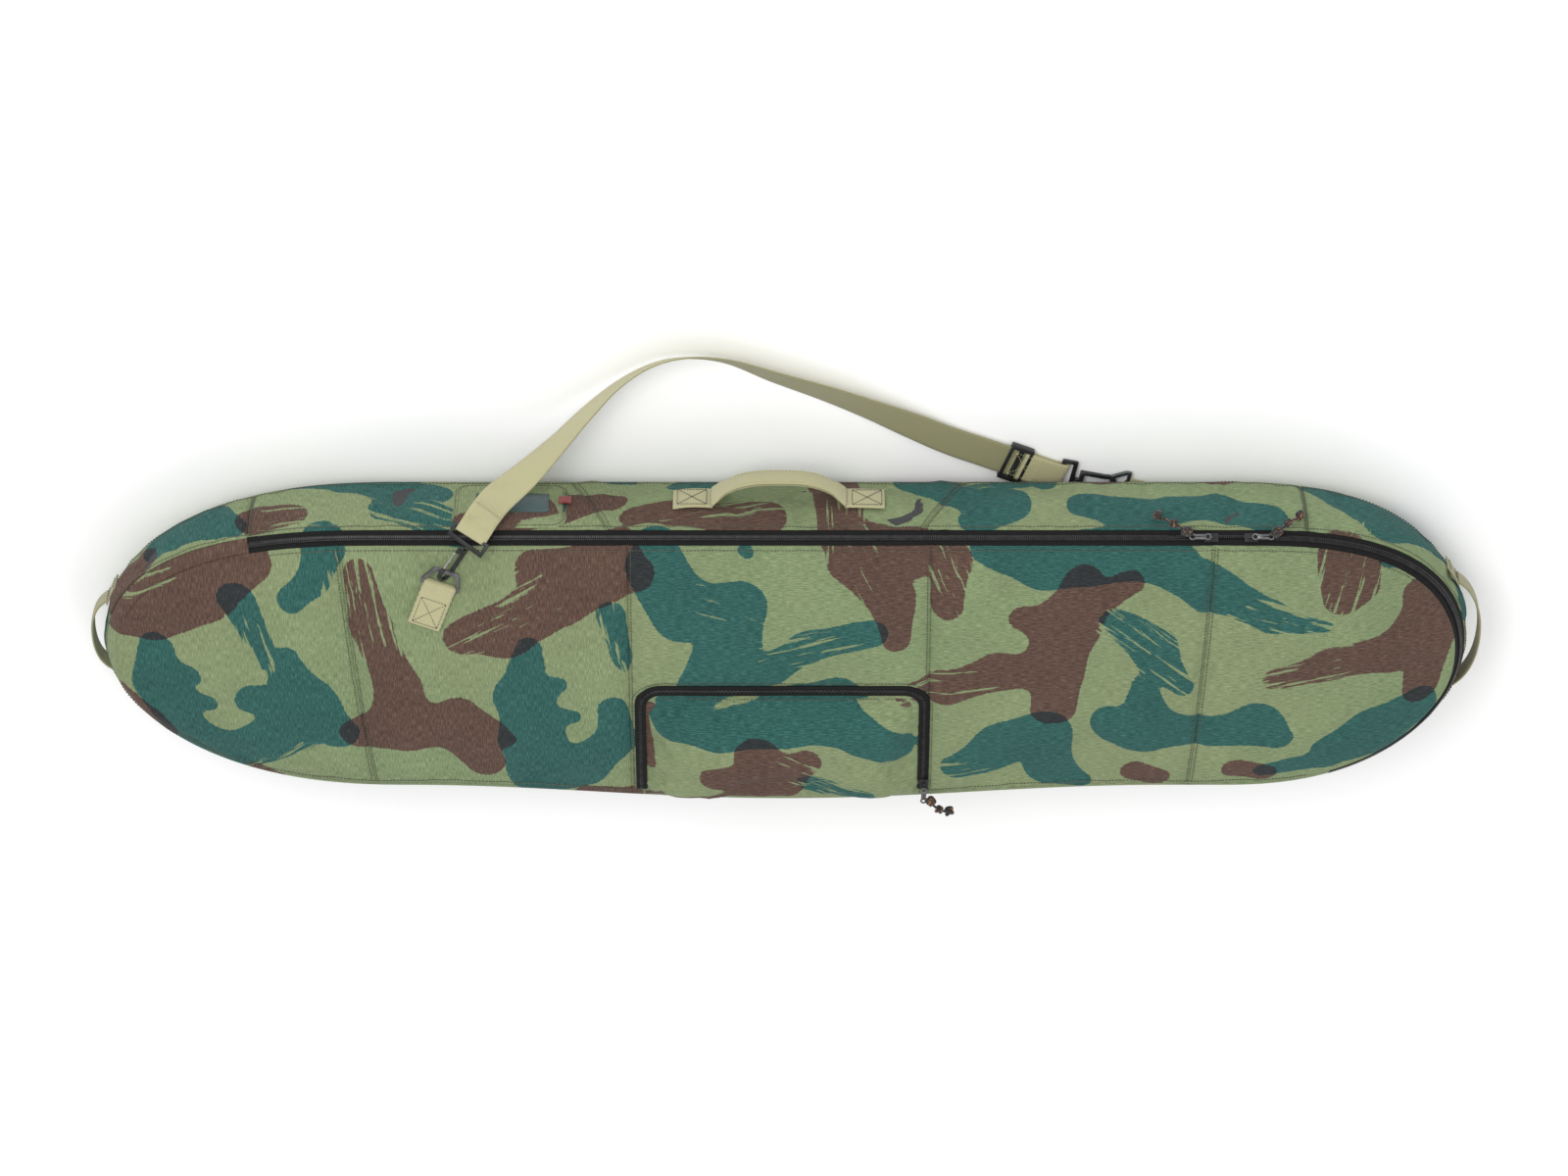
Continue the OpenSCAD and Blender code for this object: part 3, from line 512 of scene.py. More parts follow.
# Dry-brush places: x, y, half length, half width (mm) and the brush's direction in degrees
BRUSHED = [
    (-741, 100, 72, 40, 30), (-482, 112, 80, 46, 98), (-620, 45, 48, 28, 105), (-313, 98, 98, 40, 28), (-190, 40, 60, 26, 100),
    (-600, -130, 50, 26, 40), (-425, 205, 70, 36, -25), (-570, 210, 48, 28, 0), (-90, 100, 55, 22, -20), (30, 48, 62, 28, 15),
    (95, 155, 62, 28, -62), (185, 148, 55, 22, -66), (-60, 215, 80, 22, 8), (64, 215, 55, 36, 90), (190, -12, 55, 28, 8),
    (215, -135, 48, 22, 10), (428, 40, 78, 36, -38), (590, 80, 75, 28, -18), (85, -150, 66, 24, -20), (650, 140, 66, 36, 76),
    (595, 8, 62, 30, 10), (225, 280, 44, 22, 10), (20, -112, 44, 24, -30), (960, 225, 60, 30, 20), (-1000, 235, 60, 30, -20),
]


def stroke_distance(strokes, u, v):
    """Distance to the nearest stroke's edge, rounded where strokes meet; negative inside."""
    best = np.full(u.shape, 1.0)
    soften = 0.012
    for stroke in strokes:
        for (ax, ay, ar), (bx, by, br) in zip(stroke, stroke[1:]):
            ax, ay, ar, bx, by, br = (c * MM for c in (ax, ay, ar, bx, by, br))
            t = ((u - ax) * (bx - ax) + (v - ay) * (by - ay)) / ((bx - ax) ** 2 + (by - ay) ** 2)
            t = np.clip(t, 0, 1)
            d = np.hypot(u - ax - t * (bx - ax), v - ay - t * (by - ay)) - (ar + t * (br - ar))
            h = np.clip(0.5 + 0.5 * (best - d) / soften, 0, 1)
            best = best * (1 - h) + d * h - soften * h * (1 - h)
    return best


def print_ink(mesh, uv):
    """Stores the ink distances, the wear and the brush's own coordinates at each vertex."""
    u, v = uv[:, 0], uv[:, 1]
    warp = np.array([noise.noise_vector((a * 9, b * 9, 3.1)) for a, b in uv])
    pu, pv = u + 0.012 * warp[:, 0], v + 0.012 * warp[:, 1]
    ink = np.zeros((len(uv), 3), np.float32)
    ink[:, 0] = stroke_distance(BROWN_STROKES, pu, pv)
    ink[:, 1] = stroke_distance(TEAL_STROKES, pu, pv)
    brush = np.zeros((len(uv), 3), np.float32)
    nearest = np.full(len(uv), 9.0)
    for x, y, half, wide, degrees in BRUSHED:
        a = math.radians(degrees)
        du, dv = u - x * MM, v - y * MM
        along, across = du * math.cos(a) + dv * math.sin(a), dv * math.cos(a) - du * math.sin(a)
        r = np.hypot(along / (half * MM), across / (wide * MM))
        closer = r < nearest
        nearest = np.minimum(nearest, r)
        brush[closer, 0] = along[closer] + x * MM
        brush[closer, 1] = across[closer] + y * MM
    ink[:, 2] = np.clip(1.25 - nearest, 0, 1)
    mesh.attributes.new("ink", "FLOAT_VECTOR", "POINT").data.foreach_set("vector", ink.ravel())
    mesh.attributes.new("brush", "FLOAT_VECTOR", "POINT").data.foreach_set("vector", brush.ravel())


# ---- making pieces ----
def add_object(name, verts, faces, mat, smooth=True, vert_uv=None):
    mesh = bpy.data.meshes.new(name)
    mesh.from_pydata(np.asarray(verts, float).tolist(), [], [list(map(int, f)) for f in faces])
    mesh.materials.append(mat)
    if vert_uv is not None:
        layer = mesh.uv_layers.new(name="cloth")
        loops = np.zeros(len(mesh.loops), np.int32)
        mesh.loops.foreach_get("vertex_index", loops)
        layer.data.foreach_set("uv", np.asarray(vert_uv, np.float32)[loops].ravel())
    if smooth:
        mesh.polygons.foreach_set("use_smooth", [True] * len(mesh.polygons))
    obj = bpy.data.objects.new(name, mesh)
    bpy.context.collection.objects.link(obj)
    return obj


def slab_piece(name, outer, inner, uv, mat, ink=False):
    """A closed sheet between two grids of points, with cloth coordinates in metres."""
    nu, nv = outer.shape[:2]
    count = nu * nv
    idx = np.arange(count).reshape(nu, nv)
    a, b, c, d = idx[:-1, :-1].ravel(), idx[1:, :-1].ravel(), idx[1:, 1:].ravel(), idx[:-1, 1:].ravel()
    top = np.stack([a, b, c, d], -1)
    low = np.stack([d, c, b, a], -1) + count
    rim = np.concatenate([idx[:, 0], idx[-1, 1:], idx[-2::-1, -1], idx[0, -2:0:-1]])
    nxt = np.roll(rim, -1)
    wall = np.stack([nxt, rim, rim + count, nxt + count], -1)
    faces = np.concatenate([top, low, wall])
    cell = np.cross(outer[1, 0] - outer[0, 0], outer[0, 1] - outer[0, 0])
    if np.dot(cell, outer[0, 0] - inner[0, 0]) < 0:
        faces = faces[:, ::-1]
    verts = np.concatenate([outer.reshape(-1, 3), inner.reshape(-1, 3)])
    both = np.concatenate([uv.reshape(-1, 2), uv.reshape(-1, 2)])
    obj = add_object(name, verts, faces, mat, True, both)
    if ink:
        print_ink(obj.data, both)
    return obj


def relax(name, grid, pins, pressure, swell):
    """Lets the cloth find its own shape between its pinned seams; returns how far each point moved."""
    nu, nv = grid.shape[:2]
    idx = np.arange(nu * nv).reshape(nu, nv)
    quads = np.stack([idx[:-1, :-1], idx[1:, :-1], idx[1:, 1:], idx[:-1, 1:]], -1).reshape(-1, 4)
    mesh = bpy.data.meshes.new(name)
    mesh.from_pydata(grid.reshape(-1, 3).tolist(), [], quads.tolist())
    obj = bpy.data.objects.new(name, mesh)
    bpy.context.collection.objects.link(obj)
    group = obj.vertex_groups.new(name="pins")
    for weight in np.unique(np.round(pins, 2)):
        if weight > 0:
            group.add(idx[np.round(pins, 2) == weight].ravel().tolist(), float(weight), "REPLACE")
    cloth = obj.modifiers.new("Cloth", "CLOTH")
    s = cloth.settings
    s.quality = 4
    s.mass = 0.25
    s.tension_stiffness = s.compression_stiffness = 12
    s.shear_stiffness = 4
    s.bending_stiffness = 0.6
    s.shrink_min = -swell
    s.use_pressure = True
    s.uniform_pressure_force = pressure
    s.vertex_group_mass = "pins"
    s.effector_weights.gravity = 0
    cloth.collision_settings.use_collision = False
    scene = bpy.context.scene
    last = 22
    cloth.point_cache.frame_start = 1
    cloth.point_cache.frame_end = last
    for f in range(1, last + 1):
        scene.frame_set(f)
    shaped = obj.evaluated_get(bpy.context.evaluated_depsgraph_get()).to_mesh()
    moved = np.zeros(nu * nv * 3, np.float32)
    shaped.vertices.foreach_get("co", moved)
    moved = moved.reshape(nu, nv, 3) - grid
    scene.frame_set(1)
    bpy.data.objects.remove(obj)
    size = np.linalg.norm(moved, axis=-1, keepdims=True)
    cap = 0.007
    return moved * np.minimum(1, cap / np.maximum(size, 1e-9))


def resample(field, rows, cols):
    """A field on a coarse grid, read at a finer grid of the same extent."""
    nu, nv = field.shape[:2]
    a = np.linspace(0, nu - 1, rows)
    b = np.linspace(0, nv - 1, cols)
    i = np.minimum(a.astype(int), nu - 2)
    j = np.minimum(b.astype(int), nv - 2)
    fa, fb = (a - i)[:, None, None], (b - j)[None, :, None]
    fa, fb = fa * fa * (3 - 2 * fa), fb * fb * (3 - 2 * fb)
    low = field[i][:, j] * (1 - fb) + field[i][:, j + 1] * fb
    high = field[i + 1][:, j] * (1 - fb) + field[i + 1][:, j + 1] * fb
    return low * (1 - fa) + high * fa


# ---- stitches ----
class Seams:
    """Collects stitches that belong to one piece of thread."""

    def __init__(self):
        self.verts = []
        self.faces = []

    def line(self, points, normals, pitch=0.0042, length=0.0032, wide=0.00095, high=0.0006):
        """Stitches laid along a path; the normals point out of the cloth."""
        points, normals = np.asarray(points, float), np.asarray(normals, float)
        at = np.concatenate([[0], np.cumsum(np.linalg.norm(np.diff(points, axis=0), axis=1))])
        count = int(at[-1] / pitch)
        for i in range(count):
            mid = (i + 0.5) * at[-1] / count
            a, c, b = (self.read(at, points, mid + k * length / 2) for k in (-1, 0, 1))
            up = self.read(at, normals, mid)
            up = up / max(1e-9, np.linalg.norm(up))
            self.stitch(a, c, b, up, wide, high)

    @staticmethod
    def read(at, values, where):
        return np.array([np.interp(where, at, values[:, k]) for k in range(3)])

    def stitch(self, a, c, b, up, wide, high):
        """A small humped thread from a to b over c, sunk in the cloth at both ends."""
        side = np.cross(b - a, up)
        side = side / max(1e-9, np.linalg.norm(side)) * wide / 2
        start = len(self.verts)
        for p, lift, width in ((a, -0.2, 0.5), (a * 0.6 + c * 0.4, 0.9, 1), (b * 0.6 + c * 0.4, 0.9, 1), (b, -0.2, 0.5)):
            centre = p + up * high * lift * 0.6
            for turn in range(6):
                angle = math.radians(60 * turn)
                self.verts.append(centre + side * width * math.cos(angle) + up * high * width * math.sin(angle))
        for ring in range(3):
            for turn in range(6):
                p, q = start + ring * 6 + turn, start + ring * 6 + (turn + 1) % 6
                self.faces.append((p, q, q + 6, p + 6))
        self.faces.append(tuple(start + k for k in range(5, -1, -1)))
        self.faces.append(tuple(start + 18 + k for k in range(6)))

    def make(self, name, mat):
        return add_object(name, self.verts, self.faces, mat)


# ---- webbing ----
def spline(points, m):
    """The same smooth curve as the strap's own route, with m steps for each of its spans."""
    p = np.asarray(points, float)
    n = len(p) - 1
    out = []
    for i in range(n):
        a, b, c, d = p[max(0, i - 1)], p[i], p[i + 1], p[min(n, i + 2)]
        for t in np.arange(m) / m:
            out.append(0.5 * (2 * b + (c - a) * t + (2 * a - 5 * b + 4 * c - d) * t ** 2
                              + (3 * b - a - 3 * c + d) * t ** 3))
    return np.array(out + [p[n]])


def unit(v):
    return v / np.maximum(1e-12, np.linalg.norm(v, axis=-1, keepdims=True))


def frames(points, sides):
    """Direction, side and face normal at each row of a ribbon."""
    d = unit(np.gradient(points, axis=0))
    s = unit(sides - d * np.sum(sides * d, -1, keepdims=True))
    return d, s, np.cross(d, s)


def web(name, points, sides, w, t, mat, under=None, across=12, cup=0.0, fray=0.0):
    """A length of webbing: flat faces, thinner selvages; 'under' paints its second face."""
    points, sides = np.asarray(points, float), np.asarray(sides, float)
    d, s, m = frames(points, sides)
    f = np.linspace(-1, 1, across + 1)
    half = t / 2 * (1 - 0.45 * np.abs(f) ** 10)
    bend = cup * (f ** 2)
    run = np.concatenate([[0], np.cumsum(np.linalg.norm(np.diff(points, axis=0), axis=1))])
    base = points[:, None] + s[:, None] * (f * w / 2)[None, :, None] + m[:, None] * bend[None, :, None]
    if fray:
        base = base + s[:, None] * (fray * np.sin(run * 900)[:, None] * np.sign(f) * (np.abs(f) > 0.99))[..., None]
    top, low = base + m[:, None] * half[None, :, None], base - m[:, None] * half[None, :, None]
    uv = np.stack(np.broadcast_arrays(run[:, None], (f * w / 2)[None, :]), -1)
    obj = slab_piece(name, top, low, uv, mat)
    if under is not None:
        obj.data.materials.append(under)
        cells = (len(points) - 1) * across
        marks = np.zeros(len(obj.data.polygons), np.int32)
        marks[cells:2 * cells] = 1
        obj.data.polygons.foreach_set("material_index", marks)
    return obj


def lift_line(points, normals, a, b, n=40):
    """Points and normals along a straight run between two cloth points."""
    t = np.linspace(0, 1, n)[:, None]
    return np.asarray(a) * (1 - t) + np.asarray(b) * t, np.broadcast_to(normals, (n, 3))


def box_cross(seams, centre, along, side, up, long, wide, high=0.0):
    """The square of stitches with a cross that holds a webbing end."""
    centre, along, side, up = (np.asarray(v, float) for v in (centre, along, side, up))
    corner = [centre + up * high + along * long / 2 * a + side * wide / 2 * b
              for a, b in ((-1, -1), (1, -1), (1, 1), (-1, 1))]
    for a, b in ((0, 1), (1, 2), (2, 3), (3, 0), (0, 2), (1, 3)):
        line, ups = lift_line(None, up, corner[a], corner[b])
        seams.line(line, ups, pitch=0.0032, length=0.0025, wide=0.0009, high=0.0005)


# ---- hard parts, from the frame's own meshes ----
def refine(node, mat, body, bevel=0.0004, name=None, segments=2):
    """The frame's own shape with its edges rounded, so that they catch the light."""
    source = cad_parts[node]
    mesh = source.data.copy()
    mesh.materials.clear()
    mesh.materials.append(mat)
    obj = bpy.data.objects.new(name or "look_" + node, mesh)
    bpy.context.collection.objects.link(obj)
    obj.matrix_world = source.matrix_world.copy()
    bpy.context.view_layer.update()
    mesh.transform(obj.matrix_world)
    obj.matrix_world = Matrix.Identity(4)
    weld = obj.modifiers.new("weld", "WELD")
    weld.merge_threshold = 0.00001
    apply_modifiers(obj)
    mod = obj.modifiers.new("bevel", "BEVEL")
    mod.width = bevel
    mod.segments = segments
    mod.limit_method = "ANGLE"
    mod.angle_limit = math.radians(35)
    apply_modifiers(obj)
    smooth_by_angle(obj.data, 40)
    box_uv(obj.data)
    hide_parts(node)
    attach(obj, body)
    return obj


def apply_modifiers(obj):
    deps = bpy.context.evaluated_depsgraph_get()
    mesh = bpy.data.meshes.new_from_object(obj.evaluated_get(deps))
    obj.modifiers.clear()
    obj.data = mesh


def smooth_by_angle(mesh, degrees):
    mesh.polygons.foreach_set("use_smooth", [True] * len(mesh.polygons))
    mesh.set_sharp_from_angle(angle=math.radians(degrees))


def box_uv(mesh):
    """Cloth coordinates in metres on a hard part, from the side each face looks to."""
    layer = mesh.uv_layers.get("cloth") or mesh.uv_layers.new(name="cloth")
    for poly in mesh.polygons:
        n = [abs(c) for c in poly.normal]
        axis = n.index(max(n))
        keep = [(1, 2), (0, 2), (0, 1)][axis]
        for loop in poly.loop_indices:
            co = mesh.vertices[mesh.loops[loop].vertex_index].co
            layer.data[loop].uv = (co[keep[0]], co[keep[1]])


make_camera()
make_studio()

# ---- materials ----
camo = camo_material()
khaki = webbing_material("khaki_webbing", (0.370, 0.350, 0.180), (0.700, 0.665, 0.400))
# painted shade: a darker copy of the khaki webbing, for the strap's face that turns away from the light
khaki_painted_shade = webbing_material("khaki_webbing_painted_shade", (0.215, 0.205, 0.095), (0.440, 0.425, 0.235))
grip = webbing_material("grip_webbing", (0.235, 0.225, 0.110), (0.480, 0.460, 0.265))
zip_cloth = zip_material()
zip_teeth = plain_material("zip_teeth", (0.008, 0.008, 0.008), (0.030, 0.030, 0.031), 0.32)
black = plain_material("black_nylon", (0.008, 0.008, 0.009), (0.026, 0.026, 0.028), 0.38)
steel = plain_material("burnished_steel", (0.30, 0.29, 0.27), (0.52, 0.50, 0.47), 0.33, 1.0)
dark_steel = plain_material("dark_plated", (0.10, 0.10, 0.105), (0.22, 0.22, 0.225), 0.34, 0.85)
foam = foam_material()
lining = lining_material()
flecked = cord_material()
thread = thread_material("drab_thread", (0.055, 0.052, 0.030))
pale_thread = thread_material("khaki_thread", (0.42, 0.40, 0.22))
black_thread = thread_material("black_thread", (0.010, 0.010, 0.010))

# ---- cords first: the free strap and the three pulls' cords ----
STRAP_ROUTE = [
    (-352, 205, 143), (-345, 210, 130), (-330, 216, 104), (-300, 228, 74), (-264, 254, 50), (-228, 288, 34),
    (-190, 322, 25), (-150, 346, 22), (-110, 354, 21), (-64, 348, 20), (-10, 326, 19), (50, 302, 17),
    (100, 278, 13), (146, 254, 9), (190, 231, 6), (230, 215, 6), (270, 199, 6), (311, 182, 6)]
STRAP_SIDE = [
    (0.75, -0.51, 0.41), (0.73, -0.54, 0.44), (0.72, -0.48, 0.5), (0.68, -0.2, 0.71), (0.44, 0.06, 0.89),
    (0.21, 0.14, 0.97), (0, 0.27, 0.96), (-0.06, 0.42, 0.9), (0.05, 0.54, 0.84), (0.17, 0.6, 0.78),
    (0.29, 0.7, 0.65), (0.34, 0.78, 0.53), (0.42, 0.82, 0.39), (0.45, 0.87, 0.17), (0.4, 0.92, 0.04),
    (0.38, 0.92, 0), (0.38, 0.92, 0), (0.38, 0.92, 0)]
PULL_CORDS = {
    "left": [(466, 190, 140), (460, 193, 139), (452, 197, 136), (444, 199, 130), (437, 199, 124), (431, 199, 118),
             (426, 199, 112)],
    "right": [(556, 190, 140), (562, 191, 138), (569, 195, 133), (576, 197, 127), (582, 197, 121), (588, 197, 115),
              (592, 196, 109)],
    "pocket": [(170, -178, 151), (171.5, -183, 153), (174, -188, 154), (178, -193, 153), (182, -198, 151),
               (186, -202, 148), (190, -205, 145.5), (193, -207, 143), (196, -208, 140.5)]}


def make_strap():
    points = spline(STRAP_ROUTE, 12) * MM
    sides = spline(STRAP_SIDE, 12)
    # the strap's first face takes the darker painted-shade copy of the khaki, and its second face takes the khaki
    # itself
    strap = web("strap_webbing", points, sides, WEB_W, WEB_T, khaki_painted_shade, khaki, cup=0.0004)
    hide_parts("shoulder_strap")
    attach(strap, "strap")
    d, s, m = frames(points, sides)
    seams = Seams()
    for end, sense in ((0, 1), (len(points) - 1, -1)):
        k = end + sense * 10
        seams_at = points[k]
        for face in (-1, 1):
            box_cross(seams, seams_at, d[k], s[k], m[k] * face, 0.030, 0.030, 0.0035)
    thread_piece = seams.make("strap_stitches", pale_thread)
    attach(thread_piece, "strap")
    return points, d, s, m


def tube(name, points, radius, mat, sides=10, twist=0.0):
    """A cord along a path, round and capped; twist ropes its surface."""
    p = np.asarray(points, float)
    d = unit(np.gradient(p, axis=0))
    guide = np.array([0.12, 0.1, 1.0])
    u = unit(np.cross(d, guide))
    v = np.cross(d, u)
    turn = np.arange(sides) / sides * 2 * math.pi
    r = np.broadcast_to(np.asarray(radius, float), (len(p),))
    groove = 1 + 0.07 * np.cos(3 * turn[None, :] + twist * np.arange(len(p))[:, None])
    ring = (u[:, None] * np.cos(turn)[None, :, None] + v[:, None] * np.sin(turn)[None, :, None])
    grid = p[:, None] + ring * (r[:, None] * groove)[..., None]
    n = len(p)
    faces = [(i * sides + k, (i + 1) * sides + k, (i + 1) * sides + (k + 1) % sides, i * sides + (k + 1) % sides)
             for i in range(n - 1) for k in range(sides)]
    faces.append(tuple(range(sides - 1, -1, -1)))
    faces.append(tuple((n - 1) * sides + k for k in range(sides)))
    faces = [f[::-1] for f in faces]
    return add_object(name, grid.reshape(-1, 3), faces, mat)


def knot(name, at, along, size, mat):
    """An overhand knot: one strand wound round itself, drawn tight."""
    along = unit(np.asarray(along, float))
    a = unit(np.cross(along, (0.3, 0.2, 1.0)))
    b = np.cross(along, a)
    t = np.linspace(0, 2 * math.pi, 60)
    x = (np.sin(t) + 2 * np.sin(2 * t)) / 3
    y = (np.cos(t) - 2 * np.cos(2 * t)) / 3
    z = -np.sin(3 * t)
    points = np.asarray(at) + size * (a * x[:, None] + b * y[:, None] * 0.8 + along * (z * 0.75)[:, None])
    return tube(name, points[:-1], size * 0.56, mat, 10, 0.9)


CORD_BODY = {"left": "puller_left", "right": "puller_right", "pocket": "pocket_puller"}
CORD_NODE = {"left": "cord_left", "right": "cord_right", "pocket": "pocket_cord"}


def make_pull_cords():
    for key, route in PULL_CORDS.items():
        points = spline(route, 8) * MM
        cord = tube("pull_cord_" + key, points, 0.0015, flecked, 12, 0.55)
        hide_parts(CORD_NODE[key])
        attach(cord, CORD_BODY[key])
        away = points[-1] - points[-3]
        end = knot("pull_knot_" + key, points[-1] - unit(away) * 0.002, away, 0.0042, flecked)
        near = knot("pull_hitch_" + key, points[9], points[10] - points[8], 0.0044, flecked)
        middle = knot("pull_turn_" + key, points[len(points) // 2], points[len(points) // 2 + 1] - points[len(points) // 2 - 1], 0.0036, flecked)
        for piece in (end, near, middle):
            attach(piece, CORD_BODY[key])


strap_points, strap_d, strap_s, strap_m = make_strap()
make_pull_cords()


# ---- the shell ----
def full_rail(step):
    """The whole outline, from the top's left seam round the right tip and back."""
    def count(length):
        return max(4, int(length / step))
    right = tip_angle_at(ZIP_X1)
    left = tip_angle_at(ZIP_X0)
    top = side_rail(np.linspace(ZIP_X0, ZIP_X1, count(ZIP_X1 - ZIP_X0)), 1)
    tip_r = tip_rail(1, np.linspace(right, -right, count(0.50)))
    bottom = side_rail(np.linspace(ZIP_X1, ZIP_X0, count(ZIP_X1 - ZIP_X0)), -1)
    tip_l = tip_rail(-1, np.linspace(-left, left, count(0.46)))
    return {"top": top, "right_end": tip_r, "bottom": bottom, "left_end": tip_l}


def dense_outline():
    rails = full_rail(0.002)
    points, normals = join_rails(rails["top"], rails["right_end"], rails["bottom"], rails["left_end"])
    return points - normals * INSET


INNER = dense_outline()
INNER_TOP = INNER[INNER[:, 1] >= 0][np.argsort(INNER[INNER[:, 1] >= 0][:, 0])]
INNER_LOW = INNER[INNER[:, 1] < 0][np.argsort(INNER[INNER[:, 1] < 0][:, 0])]


def inner_half(x, s):
    """How far the front reaches to the inside of its corner strip."""
    top = np.interp(x, INNER_TOP[:, 0], INNER_TOP[:, 1])
    low = -np.interp(x, INNER_LOW[:, 0], INNER_LOW[:, 1])
    return np.maximum(0.002, np.where(s < 0, low, top))


def stations(step):
    """Columns along the length, closer together near both tips, with one on each panel seam."""
    stops = [-EDGE_X + 0.0005, *SEAMS, EDGE_X - 0.0005]
    out = []
    marks = []
    for a, b in zip(stops, stops[1:]):
        t = np.linspace(0, 1, int((b - a) / step) + 1)
        if a == stops[0]:
            t = 1 - np.cos(t * math.pi / 2)
        if b == stops[-1]:
            t = np.sin(t * math.pi / 2)
        marks.append(len(out))
        out += list(a + (b - a) * t)[:-1]
    marks.append(len(out))
    out.append(stops[-1])
    if step < 0.01:
        for place in SEAMS:
            out += [place - 0.0035, place - 0.0016, place + 0.0016, place + 0.0035]
        out = sorted(out)
        marks = [out.index(stop) for stop in stops]
    return np.array(out), marks


def leaned(xc, r):
    """The outer seams lean a little, so the columns lean with them."""
    lean = np.interp(xc, [-0.78, -0.5, -0.182, 0.167, 0.485, 0.78], [0, -0.0145, 0, 0, 0.008, 0])
    return np.clip(xc + lean * r, -EDGE_X + 0.0004, EDGE_X - 0.0004)


def front_grid(xs, rs, at=front_at):
    x = leaned(xs[:, None], rs[None, :])
    y = rs[None, :] * inner_half(x, rs[None, :])
    return np.stack([x, y, at(x, y)], -1)


def seam_valley(x, places, wide=0.0016, deep=0.0010):
    out = np.zeros_like(x)
    for place in places:
        out += deep * np.exp(-((x - place) / wide) ** 2)
    return out


def fabric_ripple(grid, amount, stretch=(7, 12, 7), seed=0.0):
    """Soft creases: broad swells with a few sharper ridges."""
    p = grid * np.array(stretch)
    broad = ripple(p, 1.0, seed)
    fine = ripple(p, 3.1, seed + 5)
    ridge = 1 - np.abs(ripple(p, 1.7, seed + 9)) * 2.2
    return amount * (0.9 * broad + 0.25 * fine + 0.5 * np.clip(ridge, 0, 1) ** 3)


def build_front():
    """The front skin as one grid over the whole outline, shaped between its pinned seams."""
    coarse_x, coarse_marks = stations(0.014)
    coarse_r = np.linspace(-1, 1, 29)
    coarse = front_grid(coarse_x, coarse_r)
    pins = np.zeros(coarse.shape[:2])
    pins[0] = pins[-1] = 1
    pins[:, 0] = pins[:, -1] = 1
    for mark in coarse_marks[1:-1]:
        pins[mark] = 0.55
    moved = relax("front_cloth", coarse, pins, 0.35, 0.012)
    fine_x, marks = stations(0.0052)
    fine_r = np.linspace(-1, 1, 79)
    grid = front_grid(fine_x, fine_r)
    index = np.interp(fine_x, coarse_x, np.arange(len(coarse_x)))
    low = np.minimum(index.astype(int), len(coarse_x) - 2)
    share = (index - low)[:, None, None]
    across = resample(moved, len(coarse_x), len(fine_r))
    moved = across[low] * (1 - share) + across[low + 1] * share
    out = normals_of(grid)
    edge = np.clip((1 - np.abs(fine_r)) * 9, 0, 1)[None, :]
    ends = np.clip((EDGE_X - np.abs(fine_x)) * 25, 0, 1)[:, None]
    near_seam = np.min(np.abs(fine_x[:, None] - np.array(SEAMS)[None, :]), axis=1)
    calm = np.clip(near_seam / 0.03, 0.25, 1)[:, None]
    crease = fabric_ripple(grid, 0.0019) * edge * ends * calm
    pull = 0.0007 * np.sin(fine_r[None, :] * 60 + 3 * ripple(grid * 5, 1.0)) * np.exp(-(near_seam / 0.018) ** 2)[:, None]
    valley = seam_valley(fine_x, SEAMS)[:, None] * (1 + 0 * fine_r[None, :])
    rim = 0.0012 * np.exp(-((1 - np.abs(fine_r)) / 0.025) ** 2)[None, :]
    return fine_x, fine_r, marks, grid + moved + out * (crease + pull * edge - valley + rim * ends)[..., None], out


class Skin:
    """A fine grid of surface points that can be read at any place on it."""

    def __init__(self, a_values, b_values, grid):
        self.a, self.b, self.grid = np.asarray(a_values), np.asarray(b_values), grid
        self.out = normals_of(grid)

    def read(self, field, a, b):
        i = np.interp(a, self.a, np.arange(len(self.a)))
        j = np.interp(b, self.b, np.arange(len(self.b)))
        i0 = np.clip(i.astype(int), 0, len(self.a) - 2)
        j0 = np.clip(j.astype(int), 0, len(self.b) - 2)
        fi, fj = (i - i0)[:, None], (j - j0)[:, None]
        low = field[i0, j0] * (1 - fj) + field[i0, j0 + 1] * fj
        high = field[i0 + 1, j0] * (1 - fj) + field[i0 + 1, j0 + 1] * fj
        return low * (1 - fi) + high * fi

    def line(self, a, b, lift=0.0):
        a, b = np.broadcast_arrays(np.asarray(a, float), np.asarray(b, float))
        out = self.read(self.out, a, b)
        return self.read(self.grid, a, b) + unit(out) * lift, out


def fold_blend(obj):
    """Bakes the piece's placement into its mesh and leaves it attached to no body."""
    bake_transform(obj)


front_x, front_r, front_marks, front_skin, front_out = build_front()
front = Skin(front_x, front_r, front_skin)
PANELS = ("left", "mid_left", "centre", "mid_right", "right")
PANEL_NODES = {
    "left": ["front_panel_left"], "mid_left": ["front_panel_mid_left", "flap_panel_mid_left"],
    "centre": ["front_panel_centre", "flap_panel_centre"], "mid_right": ["front_panel_mid_right", "flap_panel_mid_right"],
    "right": ["flap_panel_right"]}


def add_inside(obj, cells, mat):
    """The sheet's second side takes the inner material."""
    obj.data.materials.append(mat)
    marks = np.zeros(len(obj.data.polygons), np.int32)
    marks[cells:2 * cells] = 1
    obj.data.polygons.foreach_set("material_index", marks)


def make_front_panels():
    for name, start, stop in zip(PANELS, front_marks, front_marks[1:]):
        outer = front_skin[start:stop + 1]
        inner = outer - front_out[start:stop + 1] * CLOTH_T
        obj = slab_piece("front_" + name, outer, inner, outer[..., :2], camo, ink=True)
        add_inside(obj, (outer.shape[0] - 1) * (outer.shape[1] - 1), lining)
        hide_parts(*PANEL_NODES[name])
        if name == "left":
            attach(obj, "bag")
        else:
            fold_blend(obj)


